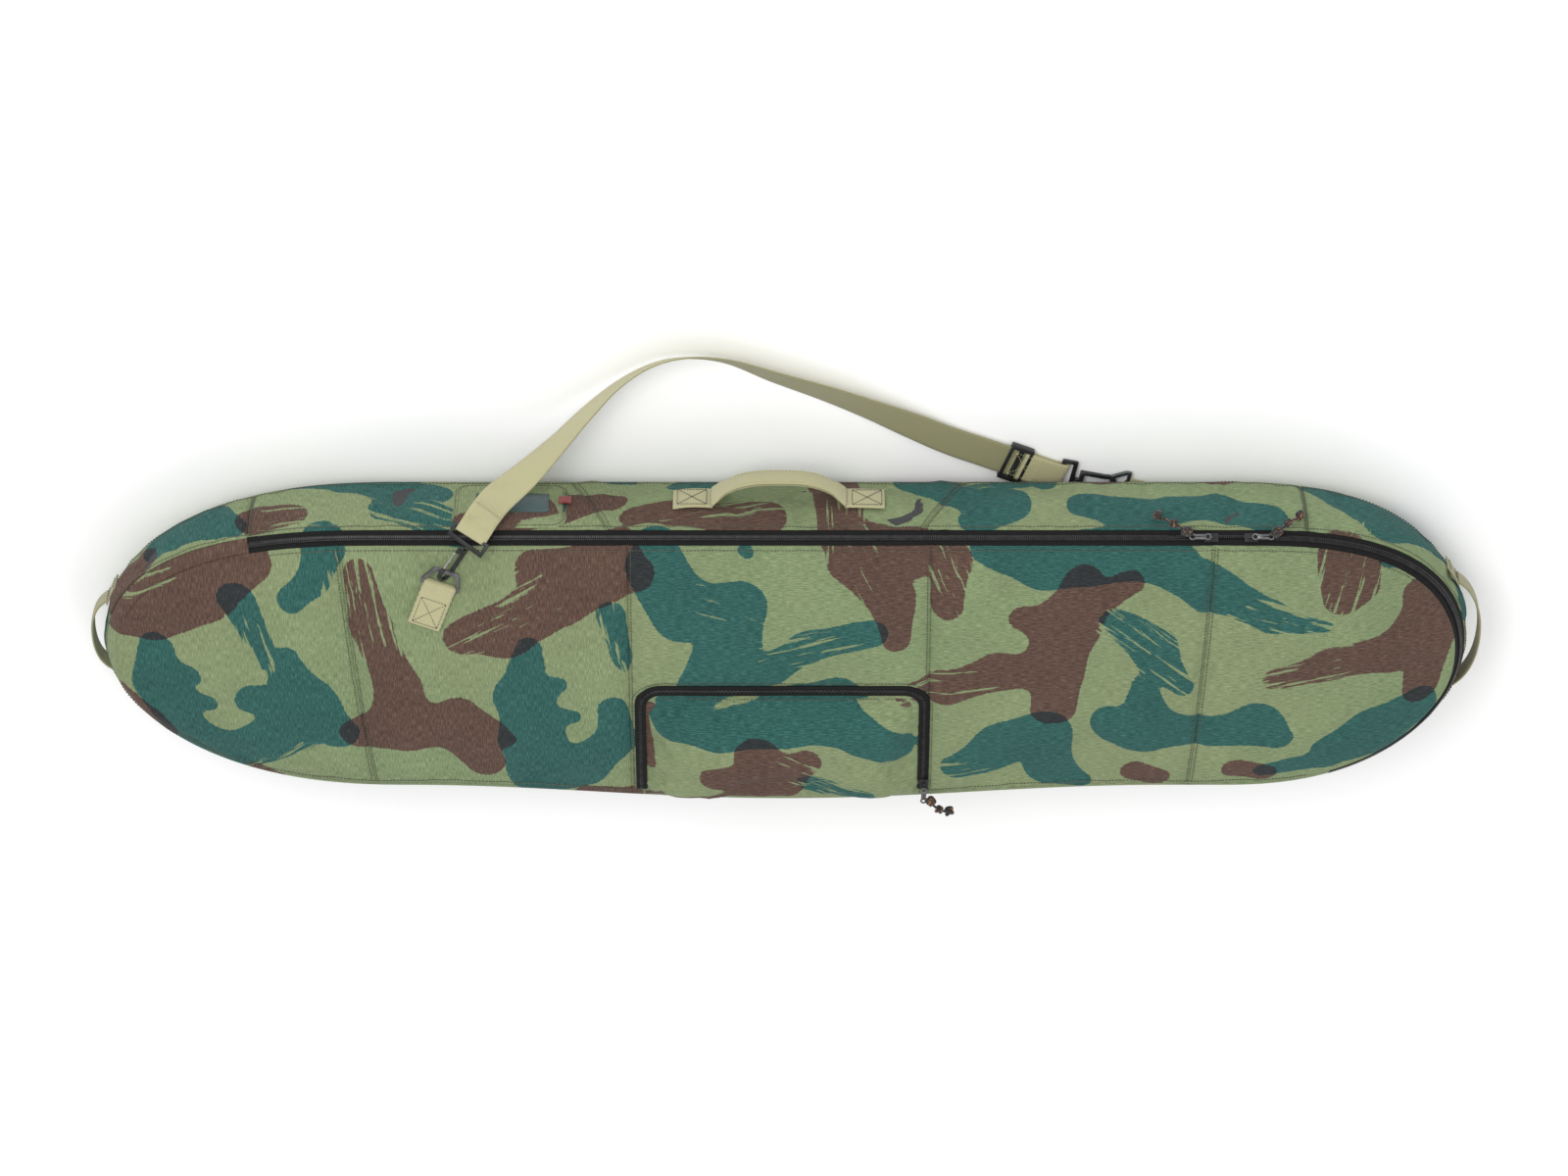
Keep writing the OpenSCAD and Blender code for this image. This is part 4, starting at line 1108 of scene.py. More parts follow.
def make_layer(name, depth0, depth1, mat, nodes, step=0.012):
    """A foam or lining layer under the front skin, in two parts that stop short of the fold."""
    xs = stations(step)[0]
    xs = xs[np.abs(xs) < EDGE_X - 0.022]
    reach, gap = 0.975, 0.030
    fold_y = FOLD_A[1] + (xs - FOLD_A[0]) * (FOLD_B[1] - FOLD_A[1]) / (FOLD_B[0] - FOLD_A[0])
    still = np.clip((fold_y - gap) / inner_half(xs, fold_y - gap), -reach, reach)
    moving = np.clip((fold_y + gap) / inner_half(xs, fold_y + gap), -reach, reach)
    for node, body, low, high in ((nodes[0], "bag", np.full(len(xs), -reach), still),
                                  (nodes[1], "front_flap", moving, np.full(len(xs), reach))):
        keep = high - low > 0.06
        b = low[keep, None] + (high - low)[keep, None] * np.linspace(0, 1, 29)[None, :]
        a = np.broadcast_to(xs[keep, None], b.shape)
        base = front.read(front.grid, a.ravel(), b.ravel()).reshape(*b.shape, 3)
        out = unit(front.read(front.out, a.ravel(), b.ravel())).reshape(base.shape)
        obj = slab_piece(name + "_" + body, base - out * depth0, base - out * depth1, base[..., :2], mat)
        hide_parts(node)
        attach(obj, body)


def wall_build():
    """The side wall all the way round, shaped between the two corner strips."""
    rails = full_rail(0.0065)
    hs = np.linspace(0, 1, 21)
    parts = {}
    start = {"top": 0.0, "right_end": 0.0, "bottom": 0.0, "left_end": 0.0}
    for name, rail in rails.items():
        grid = wall_pts(rail, hs)
        coarse = grid[::2, ::2]
        pins = np.zeros(coarse.shape[:2])
        pins[0] = pins[-1] = 1
        pins[:, 0] = pins[:, -1] = 1
        if name == "top":
            xs = coarse[:, 0, 0]
            for place in (-0.225, 0.182):
                pins[np.argmin(np.abs(xs - place))] = 0.55
        facing = 1 if np.dot(normals_of(coarse)[2, 2], np.append(rail[1][2], 0)) > 0 else -1
        moved = resample(relax("wall_cloth_" + name, coarse if facing > 0 else coarse[::-1], pins if facing > 0 else pins[::-1],
                               0.30, 0.014), *grid.shape[:2])
        if facing < 0:
            moved = moved[::-1]
        out = normals_of(grid)
        out = out * np.sign(np.sum(out * np.append(rail[1], np.zeros((len(rail[1]), 1)), 1)[:, None], -1, keepdims=True) + 1e-9)
        edge = np.clip(np.minimum(hs, 1 - hs) * 7, 0, 1)[None, :]
        t = np.linspace(0, 1, len(rail[0]))
        ends = np.clip(np.minimum(t, 1 - t) * 25, 0, 1)[:, None]
        crease = fabric_ripple(grid, 0.0021, (9, 9, 14), 30) * edge * ends
        rim = 0.0011 * np.exp(-(np.minimum(hs, 1 - hs) / 0.07) ** 2)[None, :] * ends
        shaped = moved + out * crease[..., None]
        if name == "top":
            under_pocket = np.exp(-((grid[..., 0] - sum(ID_X) / 2) / 0.085) ** 6)
            shaped = shaped * (1 - 0.95 * under_pocket)[..., None]
        parts[name] = [rail, hs, grid + shaped + out * rim[..., None], out]
    return parts


def wall_uv(name, grid):
    """Print coordinates: how far along the outline, and how far below the front seam."""
    run = np.concatenate([[0], np.cumsum(np.linalg.norm(np.diff(grid[:, -1], axis=0), axis=1))])
    down = HALF_TOP + np.cumsum(np.linalg.norm(np.diff(grid[:, ::-1], axis=1, prepend=grid[:, -1:]), axis=2), axis=1)[:, ::-1]
    u = {"top": grid[:, -1, 0], "right_end": ZIP_X1 + run, "bottom": -grid[:, -1, 0] + 0.05,
         "left_end": ZIP_X0 - (run[-1] - run)}[name]
    return np.stack(np.broadcast_arrays(u[:, None], down), -1)


def cut_wall(x0, x1, lean0=0.0, lean1=0.0, parts=None):
    """Part of the top wall between two slanting seams: (rows, cols) grid, normals and coordinates."""
    rail, hs, grid, out = parts["top"]
    uv = wall_uv("top", grid)
    xs = rail[0][:, 0]
    wanted = np.linspace(0, 1, int((x1 - x0) / 0.0065) + 2)
    rows = []
    for j, h in enumerate(hs):
        a = x0 + lean0 * (h - 0.5)
        b = x1 + lean1 * (h - 0.5)
        at = a + (b - a) * wanted
        rows.append([np.stack([np.interp(at, xs, f[:, j, k]) for k in range(f.shape[2])], -1) for f in (grid, out, uv)])
    return [np.stack([r[k] for r in rows], 1) for k in range(3)]


WALL_NODES = {"right_end": "gusset_right_end", "bottom": "gusset_bottom", "left_end": "gusset_left_end"}
# Wall seams: place, and how far each leans between the back and the front
WALL_SEAMS = ((ZIP_X0, 0.0), (-0.225, 0.045), (0.182, -0.052), (ZIP_X1, 0.0))


def make_walls(parts):
    pieces = []
    for name, node in WALL_NODES.items():
        rail, hs, grid, out = parts[name]
        pieces.append((name, grid, out, wall_uv(name, grid), node))
    for (x0, l0), (x1, l1), node in zip(WALL_SEAMS, WALL_SEAMS[1:], ("gusset_top_left", "gusset_top_centre", "gusset_top_right")):
        grid, out, uv = cut_wall(x0, x1, l0, l1, parts)
        t = np.linspace(0, 1, len(grid))
        dip = 0.0011 * (np.exp(-(t * (x1 - x0) / 0.003) ** 2) + np.exp(-((1 - t) * (x1 - x0) / 0.003) ** 2))
        grid = grid - out * dip[:, None, None]
        pieces.append((node[7:], grid, out, uv, node))
    for name, grid, out, uv, node in pieces:
        obj = slab_piece("wall_" + name, grid, grid - out * CLOTH_T, uv, camo, ink=True)
        add_inside(obj, (grid.shape[0] - 1) * (grid.shape[1] - 1), lining)
        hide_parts(node)
        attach(obj, "bag")


def make_wall_layers(parts):
    """Foam and lining all round the inside of the wall."""
    for name, depth0, depth1, mat, node, slot in (
            ("wall_foam", 0.0030, 0.0085, foam, "gusset_foam", "foam"),
            ("wall_lining", 0.0086, 0.0096, lining, "gusset_lining", "lining")):
        grids = []
        for key in ("top", "right_end", "bottom", "left_end"):
            rail, hs, grid, out = parts[key]
            base = wall_pts(rail, np.linspace(0.02, 0.98, 9))
            push = np.append(rail[1], np.zeros((len(rail[1]), 1)), 1)[:, None]
            grids.append(np.stack([base - push * depth0, base - push * depth1], 0)[:, :-1:2])
        both = np.concatenate(grids, 1)
        run = np.cumsum(np.linalg.norm(np.diff(both[0][:, 0], axis=0, prepend=both[0][:1, 0]), axis=1))
        uv = np.stack(np.broadcast_arrays(run[:, None], np.linspace(0, 0.12, 9)[None, :]), -1)
        obj = slab_piece(name, both[0], both[1], uv, mat)
        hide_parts(node)
        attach(obj, "bag")


def make_back():
    """The back panel with its foam and lining; it lies on the floor."""
    xs, _ = stations(0.010)
    for name, depth0, depth1, mat, node, slot, reach in (
            ("back_skin", 0.0, CLOTH_T, camo, "back_panel", "camo_fabric", 1.0),
            ("back_foam_pad", CLOTH_T, CLOTH_T + FOAM_T, foam, "back_foam", "foam", 0.985),
            ("back_lining_sheet", CLOTH_T + FOAM_T, CLOTH_T + FOAM_T + LINING_T, lining, "back_lining", "lining", 0.985)):
        rs = np.sin(np.linspace(-1, 1, 41) * math.pi / 2) * reach
        x = np.broadcast_to(xs[:, None], (len(xs), len(rs)))
        y = rs[None, :] * inner_half(x, rs[None, :])
        grid = np.stack([x, y, back_at(x, y)], -1)
        soft = np.clip(1.5 - 1.5 * np.abs(rs), 0, 1)[None, :] * np.clip((EDGE_X - np.abs(xs)) * 10, 0, 1)[:, None]
        grid[..., 2] += soft * 0.0012 * (0.5 + 0.5 * ripple(grid * np.array((8, 8, 8)), 1.0, 50)) + depth0
        inner = grid + np.array((0, 0, depth1 - depth0))
        uv = np.stack([-grid[..., 0] + 0.1, -grid[..., 1]], -1)
        obj = slab_piece(name, grid, inner, uv, mat, ink=mat is camo)
        if mat is camo:
            add_inside(obj, (grid.shape[0] - 1) * (grid.shape[1] - 1), lining)
        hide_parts(node)
        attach(obj, "bag")


wall_parts = wall_build()
make_front_panels()
make_layer("front_foam_pad", 0.0017, 0.0072, foam, ["front_foam", "flap_foam"])
make_layer("front_lining_sheet", 0.0074, 0.0083, lining, ["front_lining", "flap_lining"])
make_walls(wall_parts)
make_wall_layers(wall_parts)
make_back()


# ---- corner strips: binding, zip tapes and teeth ----
def strip_grid(rail, ks, lift):
    """Outer surface of a corner strip, raised by lift(k) above the plain strip."""
    return strip_pts(rail, ks, -lift)


def strip_piece(name, rail, k0, k1, mat, node, rise, body, back=False, across=8, ink=False):
    ks = np.linspace(k0, k1, across + 1)
    t = np.linspace(-1, 1, across + 1)
    lift = rise(t)[None, :] * np.ones((len(rail[0]), 1))
    make = back_strip_pts if back else strip_pts
    outer, inner = make(rail, ks, -lift), make(rail, ks, np.full_like(lift, TAPE))
    run = np.concatenate([[0], np.cumsum(np.linalg.norm(np.diff(outer[:, 0], axis=0), axis=1))])
    uv = np.stack(np.broadcast_arrays(run[:, None], (ks * 0.0141)[None, :] + 0.18), -1)
    if ink:
        uv = outer[..., :2] * (-1 if back else 1) + (0.1 if back else 0, 0)
    obj = slab_piece(name, outer, inner, uv, mat, ink=ink)
    if node:
        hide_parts(node)
    if body == "fold":
        fold_blend(obj)
    else:
        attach(obj, body)
    return obj


TAPE = 0.0012


def zip_rail(step=0.004):
    top = side_rail(np.arange(ZIP_X0, ZIP_X1, step), 1)
    tip = tip_rail(1, np.linspace(tip_angle_at(ZIP_X1), -TIP_ANGLE, 150))
    return join_rails(top, tip)


def sub_rail(rail, keep):
    return rail[0][keep], rail[1][keep]


def teeth(name, rail, k, body, node):
    """One half of the coil: a rounded tooth each 2.2 mm, set in from the tape's edge."""
    line = strip_pts(rail, np.array([k, 0.5]), -0.0013)
    at, inward = line[:, 0], line[:, 1]
    run = np.concatenate([[0], np.cumsum(np.linalg.norm(np.diff(at, axis=0), axis=1))])
    pitch = 0.0024
    where = np.arange(pitch / 2 + (pitch / 2 if k > 0.5 else 0), run[-1], pitch)
    base = np.stack([np.interp(where, run, at[:, i]) for i in range(3)], -1)
    cross = unit(np.stack([np.interp(where, run, (inward - at)[:, i]) for i in range(3)], -1))
    along = unit(np.gradient(base, axis=0))
    up = unit(np.cross(along, cross))
    up = up * np.sign(up[:, 2:3] + 1e-9)
    verts, faces = [], []
    profile = ((-0.0012, 0.00095, 0.0), (-0.0012, 0.0009, 0.0009), (0.0, 0.00075, 0.00135), (0.0021, 0.0006, 0.0011),
               (0.0027, 0.0003, 0.0002))
    for p, c, a, u in zip(base, cross, along, up):
        start = len(verts)
        for out, half, high in profile:
            verts += [p + c * out + a * half + u * high, p + c * out - a * half + u * high]
        for out, half, high in profile:
            verts += [p + c * out + a * half - u * 0.0006, p + c * out - a * half - u * 0.0006]
        for i in range(4):
            q = start + 2 * i
            faces += [(q, q + 1, q + 3, q + 2), (q + 10, q + 12, q + 13, q + 11),
                      (q, q + 2, q + 12, q + 10), (q + 1, q + 11, q + 13, q + 3)]
        faces += [(start, start + 10, start + 11, start + 1), (start + 8, start + 9, start + 19, start + 18)]
    obj = add_object(name, verts, faces, zip_teeth, smooth=False)
    if node:
        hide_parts(node)
    if body == "fold":
        fold_blend(obj)
    else:
        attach(obj, body)
    return obj


def tape_rise(t):
    """A tape is a little full in its middle."""
    return 0.0007 * (1 - t ** 4)


def piping_rise(t):
    return 0.0026 * np.sqrt(np.maximum(0, 1 - t ** 2)) - 0.0006


def make_strips():
    rail = zip_rail()
    xs = rail[0][:, 0]
    on_top = rail[0][:, 1] > 0
    strip_piece("zip_tape_wall", rail, 0.50, 1.04, zip_cloth, "zip_tape_gusset", tape_rise, "bag")
    strip_piece("zip_tape_front", rail, -0.04, 0.49, zip_cloth, "zip_tape_flap", tape_rise, "fold")
    teeth("zip_teeth_wall", rail, 0.60, "bag", "zip_coil_gusset")
    keep = ~(on_top & (xs > 0.486) & (xs < 0.536))
    left, right = sub_rail(rail, np.flatnonzero(on_top & (xs <= 0.486))), sub_rail(rail, np.flatnonzero(keep & ~(on_top & (xs <= 0.486))))
    teeth("zip_teeth_front_a", left, 0.40, "fold", "zip_coil_flap")
    teeth("zip_teeth_front_b", right, 0.40, "fold", None)
    rails = full_rail(0.006)
    low = side_rail(np.linspace(ZIP_X0, 0.625, 210), -1)
    tip = rails["left_end"]
    corner = tip_rail(1, np.linspace(-tip_angle_at(0.625), 0.5 - TIP_ANGLE, 6))
    bound = join_rails((tip[0][::-1], tip[1][::-1]), low, corner)
    strip_piece("front_piping", bound, -0.02, 1.02, camo, "front_binding", piping_rise, "bag", across=10, ink=True)
    whole = join_rails(rails["top"], rails["right_end"], rails["bottom"], rails["left_end"])
    strip_piece("back_piping", whole, -0.02, 1.02, camo, "back_binding", piping_rise, "bag", back=True, across=10, ink=True)


make_strips()


# ---- pocket ----
POCKET_MID = sum(POCKET_X) / 2


def pocket_at(x, y):
    across = 1 - np.abs((x - POCKET_MID) / (POCKET_X[1] - POCKET_X[0]) * 2) ** 6
    up = 1 - np.maximum(0, (y - POCKET_HEM) / (POCKET_TOP - POCKET_HEM)) ** 5
    hem = 1 - np.maximum(0, 1 - (y - POCKET_HEM) / 0.022) ** 2
    return front_at(x, y) + 0.002 + POCKET_RISE * across * up * hem


def pocket_build():
    """The domed panel, rounded at its two far corners, then shaped by the cloth's own slack."""
    def grid(nx, ny):
        a = np.sin(np.linspace(-1, 1, nx) * math.pi / 2)
        b = np.linspace(0, 1, ny)
        corner = 0.020 * np.clip((b - 0.84) / 0.16, 0, 1) ** 2.4
        x = POCKET_MID + a[:, None] * ((POCKET_X[1] - POCKET_X[0]) / 2 - corner[None, :])
        y = POCKET_HEM + b[None, :] * (POCKET_TOP - POCKET_HEM) - 0.004 * np.abs(a[:, None]) ** 8 * b[None, :]
        return np.stack([x, y, pocket_at(x, y)], -1), a, b
    coarse, _, _ = grid(27, 15)
    pins = np.zeros(coarse.shape[:2])
    pins[0] = pins[-1] = 1
    pins[:, 0] = pins[:, -1] = 1
    moved = relax("pocket_cloth", coarse, pins, 0.15, 0.03)
    fine, a, b = grid(79, 45)
    out = normals_of(fine)
    edge = np.clip(np.minimum(1 - np.abs(a), 1) * 12, 0, 1)[:, None] * np.clip(np.minimum(b, 1 - b) * 12, 0, 1)[None, :]
    crease = fabric_ripple(fine, 0.0022, (11, 13, 10), 70) * edge
    gathers = 0.0005 * np.sin(a[:, None] * 34) * np.exp(-(b[None, :] / 0.12) ** 2) * edge
    rim = 0.0010 * np.exp(-((1 - np.abs(a)) / 0.008) ** 2)[:, None] * np.ones_like(b)[None, :]
    return a, b, fine + resample(moved, 79, 45) + out * (crease + gathers + rim)[..., None], out


def make_pocket():
    a, b, grid, out = pocket_build()
    uv = grid[..., :2] + np.array((0.012, 0.006))
    obj = slab_piece("pocket_face", grid, grid - out * CLOTH_T, uv, camo, ink=True)
    add_inside(obj, (len(a) - 1) * (len(b) - 1), lining)
    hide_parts("pocket_panel")
    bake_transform(obj)
    skin = Skin(a, b, grid)
    seams = Seams()
    for inset in (0.02, 0.05):
        for side in (-1, 1):
            seams.line(*skin.line(np.full(60, side * (1 - inset * 0.35)), np.linspace(0.10, 0.98, 60), 0.0004))
        seams.line(*skin.line(np.linspace(-0.97, 0.97, 90), np.full(90, 1 - inset), 0.0004))
    threads = seams.make("pocket_stitches", thread)
    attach(threads, "pocket_front")
    return skin


def pocket_route(offset=0.0):
    """The pocket zip's path round three sides of the pocket, with rounded corners."""
    left, right, top = POCKET_X[0] - 0.004 - offset, POCKET_X[1] + 0.004 + offset, POCKET_TOP + 0.004 + offset
    radius = 0.024 + offset
    low = -0.170
    turn = np.linspace(0, math.pi / 2, 10)
    p = [(left, y) for y in np.linspace(low, top - radius, 36)]
    p += [(left + radius - radius * math.cos(t), top - radius + radius * math.sin(t)) for t in turn[1:]]
    p += [(x, top) for x in np.linspace(left + radius, right - radius, 70)[1:]]
    p += [(right - radius + radius * math.sin(t), top - radius + radius * math.cos(t)) for t in turn[1:]]
    p += [(right, y) for y in np.linspace(top - radius, low, 36)[1:]]
    p = np.array(p)
    d = unit(np.gradient(p, axis=0))
    return p, np.stack([-d[:, 1], d[:, 0]], -1)


def on_front(p, lift):
    """Points over the finished front skin at plan places p."""
    x, y = p[..., 0].ravel(), p[..., 1].ravel()
    r = y / inner_half(x, y)
    points, out = front.line(x, r, 0.0)
    out = unit(out)
    flat = np.stack([x, y, points[:, 2]], -1) + np.array((0, 0, 1.0)) * np.asarray(lift).ravel()[:, None]
    return flat.reshape(*p.shape[:-1], 3), out.reshape(*p.shape[:-1], 3)


def make_pocket_zip():
    p, side = pocket_route()
    f = np.linspace(-1, 1, 11)
    plan = p[:, None] + side[:, None] * (f * 0.0065)[None, :, None]
    lift = np.broadcast_to(0.0022 + 0.0006 * (1 - f ** 4), plan.shape[:2])
    top, _ = on_front(plan, lift)
    low, _ = on_front(plan, np.full(plan.shape[:2], 0.0004))
    run = np.concatenate([[0], np.cumsum(np.linalg.norm(np.diff(p, axis=0), axis=1))])
    uv = np.stack(np.broadcast_arrays(run[:, None], (f * 0.0065)[None, :]), -1)
    tape = slab_piece("pocket_zip_band", top, low, uv, zip_cloth)
    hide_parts("pocket_zip_tape")
    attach(tape, "bag")
    pitch = 0.0023
    where = np.arange(pitch, run[-1] - pitch, pitch)
    base = np.stack([np.interp(where, run, p[:, k]) for k in (0, 1)], -1)
    across = np.stack([np.interp(where, run, side[:, k]) for k in (0, 1)], -1)
    verts, faces = [], []
    for i, (q, s) in enumerate(zip(base, across)):
        a = np.array((-s[1], s[0]))
        shift = s * (0.0004 if i % 2 else -0.0004)
        start = len(verts)
        for high, half_s, half_a in ((0.0, 0.0020, 0.0009), (0.0010, 0.0018, 0.0008), (0.0016, 0.0009, 0.0005)):
            ring = [q + shift + s * half_s * u + a * half_a * v for u, v in ((-1, -1), (1, -1), (1, 1), (-1, 1))]
            at, _ = on_front(np.array(ring), np.full(4, 0.0026 + high))
            verts += list(at)
        for ring in (0, 4):
            for k in range(4):
                m = (k + 1) % 4
                faces.append((start + ring + k, start + ring + m, start + ring + 4 + m, start + ring + 4 + k))
        faces.append(tuple(start + 8 + k for k in range(4)))
        faces.append(tuple(start + k for k in (3, 2, 1, 0)))
    coil = add_object("pocket_zip_teeth", verts, faces, zip_teeth, smooth=False)
    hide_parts("pocket_zip_coil")
    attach(coil, "bag")
    seams = Seams()
    for offset in (0.0095,):
        q, _ = pocket_route(offset)
        at, out = on_front(q, np.full(len(q), 0.0003))
        seams.line(at, out)
    threads = seams.make("pocket_surround_stitches", thread)
    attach(threads, "bag")


pocket_skin = make_pocket()
make_pocket_zip()


# ---- topstitching on the shell ----
def make_front_stitches():
    still, moving = Seams(), Seams()
    r = np.linspace(-0.985, 0.985, 120)
    for place, offsets, target in ((SEAMS[0], (-0.0035, 0.0035), still), (SEAMS[1], (0.004,), moving),
                                   (SEAMS[2], (-0.004,), moving), (SEAMS[3], (-0.0035, 0.0035), moving)):
        for offset in offsets:
            target.line(*front.line(np.full(len(r), place + offset), r, 0.0003))
    x = np.linspace(-0.600, 0.744, 420)
    for r_edge in (0.968,):
        moving.line(*front.line(x, np.full(len(x), r_edge), 0.0003))
    low = np.linspace(-0.74, 0.62, 400)
    for r_edge in (-0.968,):
        moving.line(*front.line(low, np.full(len(low), r_edge), 0.0003))
    a = still.make("front_stitches_still", thread)
    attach(a, "bag")
    b = moving.make("front_stitches", thread)
    fold_blend(b)


def make_wall_stitches(parts):
    seams = Seams()
    for name in parts:
        rail, hs, grid, out = parts[name]
        for h in (0.955, 0.045):
            j = int(round(h * (len(hs) - 1)))
            seams.line(grid[:, j] + out[:, j] * 0.0003, out[:, j])
    rail, hs, grid, out = parts["top"]
    xs = rail[0][:, 0]
    h = np.linspace(0.03, 0.97, 40)
    for place, lean in WALL_SEAMS:
        for offset in (-0.0035, 0.0035):
            at = place + lean * (h - 0.5) + offset
            at = np.clip(at, ZIP_X0 + 0.002, ZIP_X1 - 0.002)
            row = np.interp(at, xs, np.arange(len(xs)))
            col = h * (len(hs) - 1)
            i0, j0 = np.minimum(row.astype(int), len(xs) - 2), np.minimum(col.astype(int), len(hs) - 2)
            fi, fj = (row - i0)[:, None], (col - j0)[:, None]
            p = (grid[i0, j0] * (1 - fi) + grid[i0 + 1, j0] * fi) * (1 - fj) + (
                grid[i0, j0 + 1] * (1 - fi) + grid[i0 + 1, j0 + 1] * fi) * fj
            seams.line(p + out[i0, j0] * 0.0003, out[i0, j0])
    threads = seams.make("wall_stitches", thread)
    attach(threads, "bag")


make_front_stitches()
make_wall_stitches(wall_parts)


# ---- carry handle, end handles and their sewn ends ----
def patch_on_wall(name, x0, x1, z, w, lift, mat, n=30):
    """A flat webbing end sewn to the top side wall, following the cloth under it."""
    rail, hs, grid, out = wall_parts["top"]
    xs = rail[0][:, 0]
    at = np.linspace(x0, x1, n)
    row = np.interp(at, xs, np.arange(len(xs))).astype(int)
    z0, z1 = back_z(at) + INSET, front_z(at) - INSET
    col = (z - z0) / (z1 - z0) * (len(hs) - 1)
    cols = np.clip(col.astype(int), 0, len(hs) - 1)
    y = np.array([np.max(grid[r, max(0, c - 3):c + 4, 1]) for r, c in zip(row, cols)])
    y = np.convolve(np.pad(y, 3, mode="edge"), np.ones(7) / 7, "valid")
    points = np.stack([at, y + lift, np.full(n, z)], -1)
    sides = np.broadcast_to((0, 0, 1.0), points.shape)
    return web(name, points, sides, w, WEB_T, mat), points


def make_carry_handle():
    z = 0.077
    mid, span = -0.008, 0.078
    t = np.linspace(-1, 1, 90)
    y = 0.1995 + 0.027 * (1 - np.abs(t) ** 3)
    x = mid + span * t
    width = 0.038 - 0.012 * np.clip((1 - np.abs(t)) * 5, 0, 1) ** 1.5
    for layer, mat, lift in (("outer", khaki, 0.0013), ("inner", grip, -0.0013)):
        points = np.stack([x, y + lift * np.clip((1 - np.abs(t)) * 9, 0.6, 1), np.full_like(x, z)], -1)
        obj = web("carry_handle_" + layer, points, np.broadcast_to((0, 0, 1.0), points.shape), 0.030, 0.0023, mat, cup=0.0008)
        scale = (width / 0.030)
        shrink_width(obj, points, scale, z)
        if layer == "outer":
            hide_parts("carry_handle")
        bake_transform(obj)
    seams = Seams()
    for edge in (-0.0105, 0.0105):
        k = np.linspace(12, 77, 80).astype(int)
        p = np.stack([x[k], y[k] + 0.0027, np.full(len(k), z + edge)], -1)
        seams.line(p, np.broadcast_to((0, 1.0, 0), p.shape))
    threads = seams.make("carry_handle_stitches", pale_thread)
    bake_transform(threads)
    seams = Seams()
    for side, x0, x1 in (("left", -0.130, -0.084), ("right", 0.068, 0.114)):
        tab, points = patch_on_wall("carry_tab_" + side, x0, x1, z, WEB_W, 0.0016, khaki)
        centre = points[len(points) // 2] + np.array((0, 0.0016, 0))
        centre[0] += -0.002 if side == "left" else 0.002
        box_cross(seams, centre, (1, 0, 0), (0, 0, 1), (0, 1, 0), 0.034, 0.030)
        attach(tab, "bag")
    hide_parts("carry_handle_tabs")
    threads = seams.make("carry_tab_stitches", thread)
    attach(threads, "bag")


def shrink_width(obj, points, scale, z):
    """Narrows the handle's webbing where it is folded for the hand."""
    n = len(points)
    rows = len(obj.data.vertices) // (2 * n)
    for half in (0, 1):
        for i in range(n):
            for j in range(rows):
                v = obj.data.vertices[half * n * rows + i * rows + j]
                v.co.z = z + (v.co.z - z) * scale[i]


END_Z = 0.062


def tip_out(s, degrees, out):
    p, n = tip_rail(s, degrees)
    z0, z1 = back_z(p[:, 0]) + INSET, front_z(p[:, 0]) - INSET
    k = (z0 + (z1 - z0) * ((END_Z - z0) / (z1 - z0)) - back_z(p[:, 0])) / (front_z(p[:, 0]) - back_z(p[:, 0]))
    xy = p + n * (BOW * 4 * k * (1 - k) + out)[:, None]
    return np.concatenate([xy, np.full((len(p), 1), END_Z)], 1), np.concatenate([n, np.zeros((len(p), 1))], 1)


def make_end_handles():
    for s, side, node, body, axis_x, span, tab_at in ((-1, "left", "end_handle_left", "tip_handle_left", -0.797, 13, 17.5),
                                                      (1, "right", "end_handle_right", "tip_handle_right", 0.789, 21, 26)):
        reach_angle = span + 1.5
        t = np.linspace(-1, 1, 70)
        points, out = tip_out(s, t * reach_angle, 0.0040 + 0.0125 * (1 - np.abs(t) ** 3.5))
        points[:, 2] += 0.0006 * np.sin(t * 5)
        obj = web("end_handle_" + side + "_webbing", points, np.broadcast_to((0, 0, 1.0), points.shape), 0.024, 0.0028, grip, cup=0.0006)
        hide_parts(node)
        apex = s * 0.817
        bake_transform(obj)
        seams = Seams()
        for way in (-1, 1):
            a = np.linspace(way * tab_at - 4.4, way * tab_at + 3.6, 16)
            p, o = tip_out(s, a, 0.0034)
            tab = web("end_tab_" + side + ("_low" if way < 0 else "_high"), p, np.broadcast_to((0, 0, 1.0), p.shape), 0.026, 0.0022, grip)
            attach(tab, "bag")
            for turn in (-2.9, -1.6, 2.4):
                line, ups = tip_out(s, np.full(12, way * tab_at + turn), 0.0048)
                line[:, 2] += np.linspace(-0.010, 0.010, 12)
                seams.line(line, ups)
        if side == "left":
            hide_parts("end_handle_tabs")
        threads = seams.make("end_tab_stitches_" + side, thread)
        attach(threads, "bag")


make_carry_handle()
make_end_handles()

# ---- left ring tab, hardware and strap ends ----
RING_EYE_LEFT = np.array((-0.389, 0.151, 0.159))
RING_YAW = math.radians(-22)
RING_DEPTH = 0.024


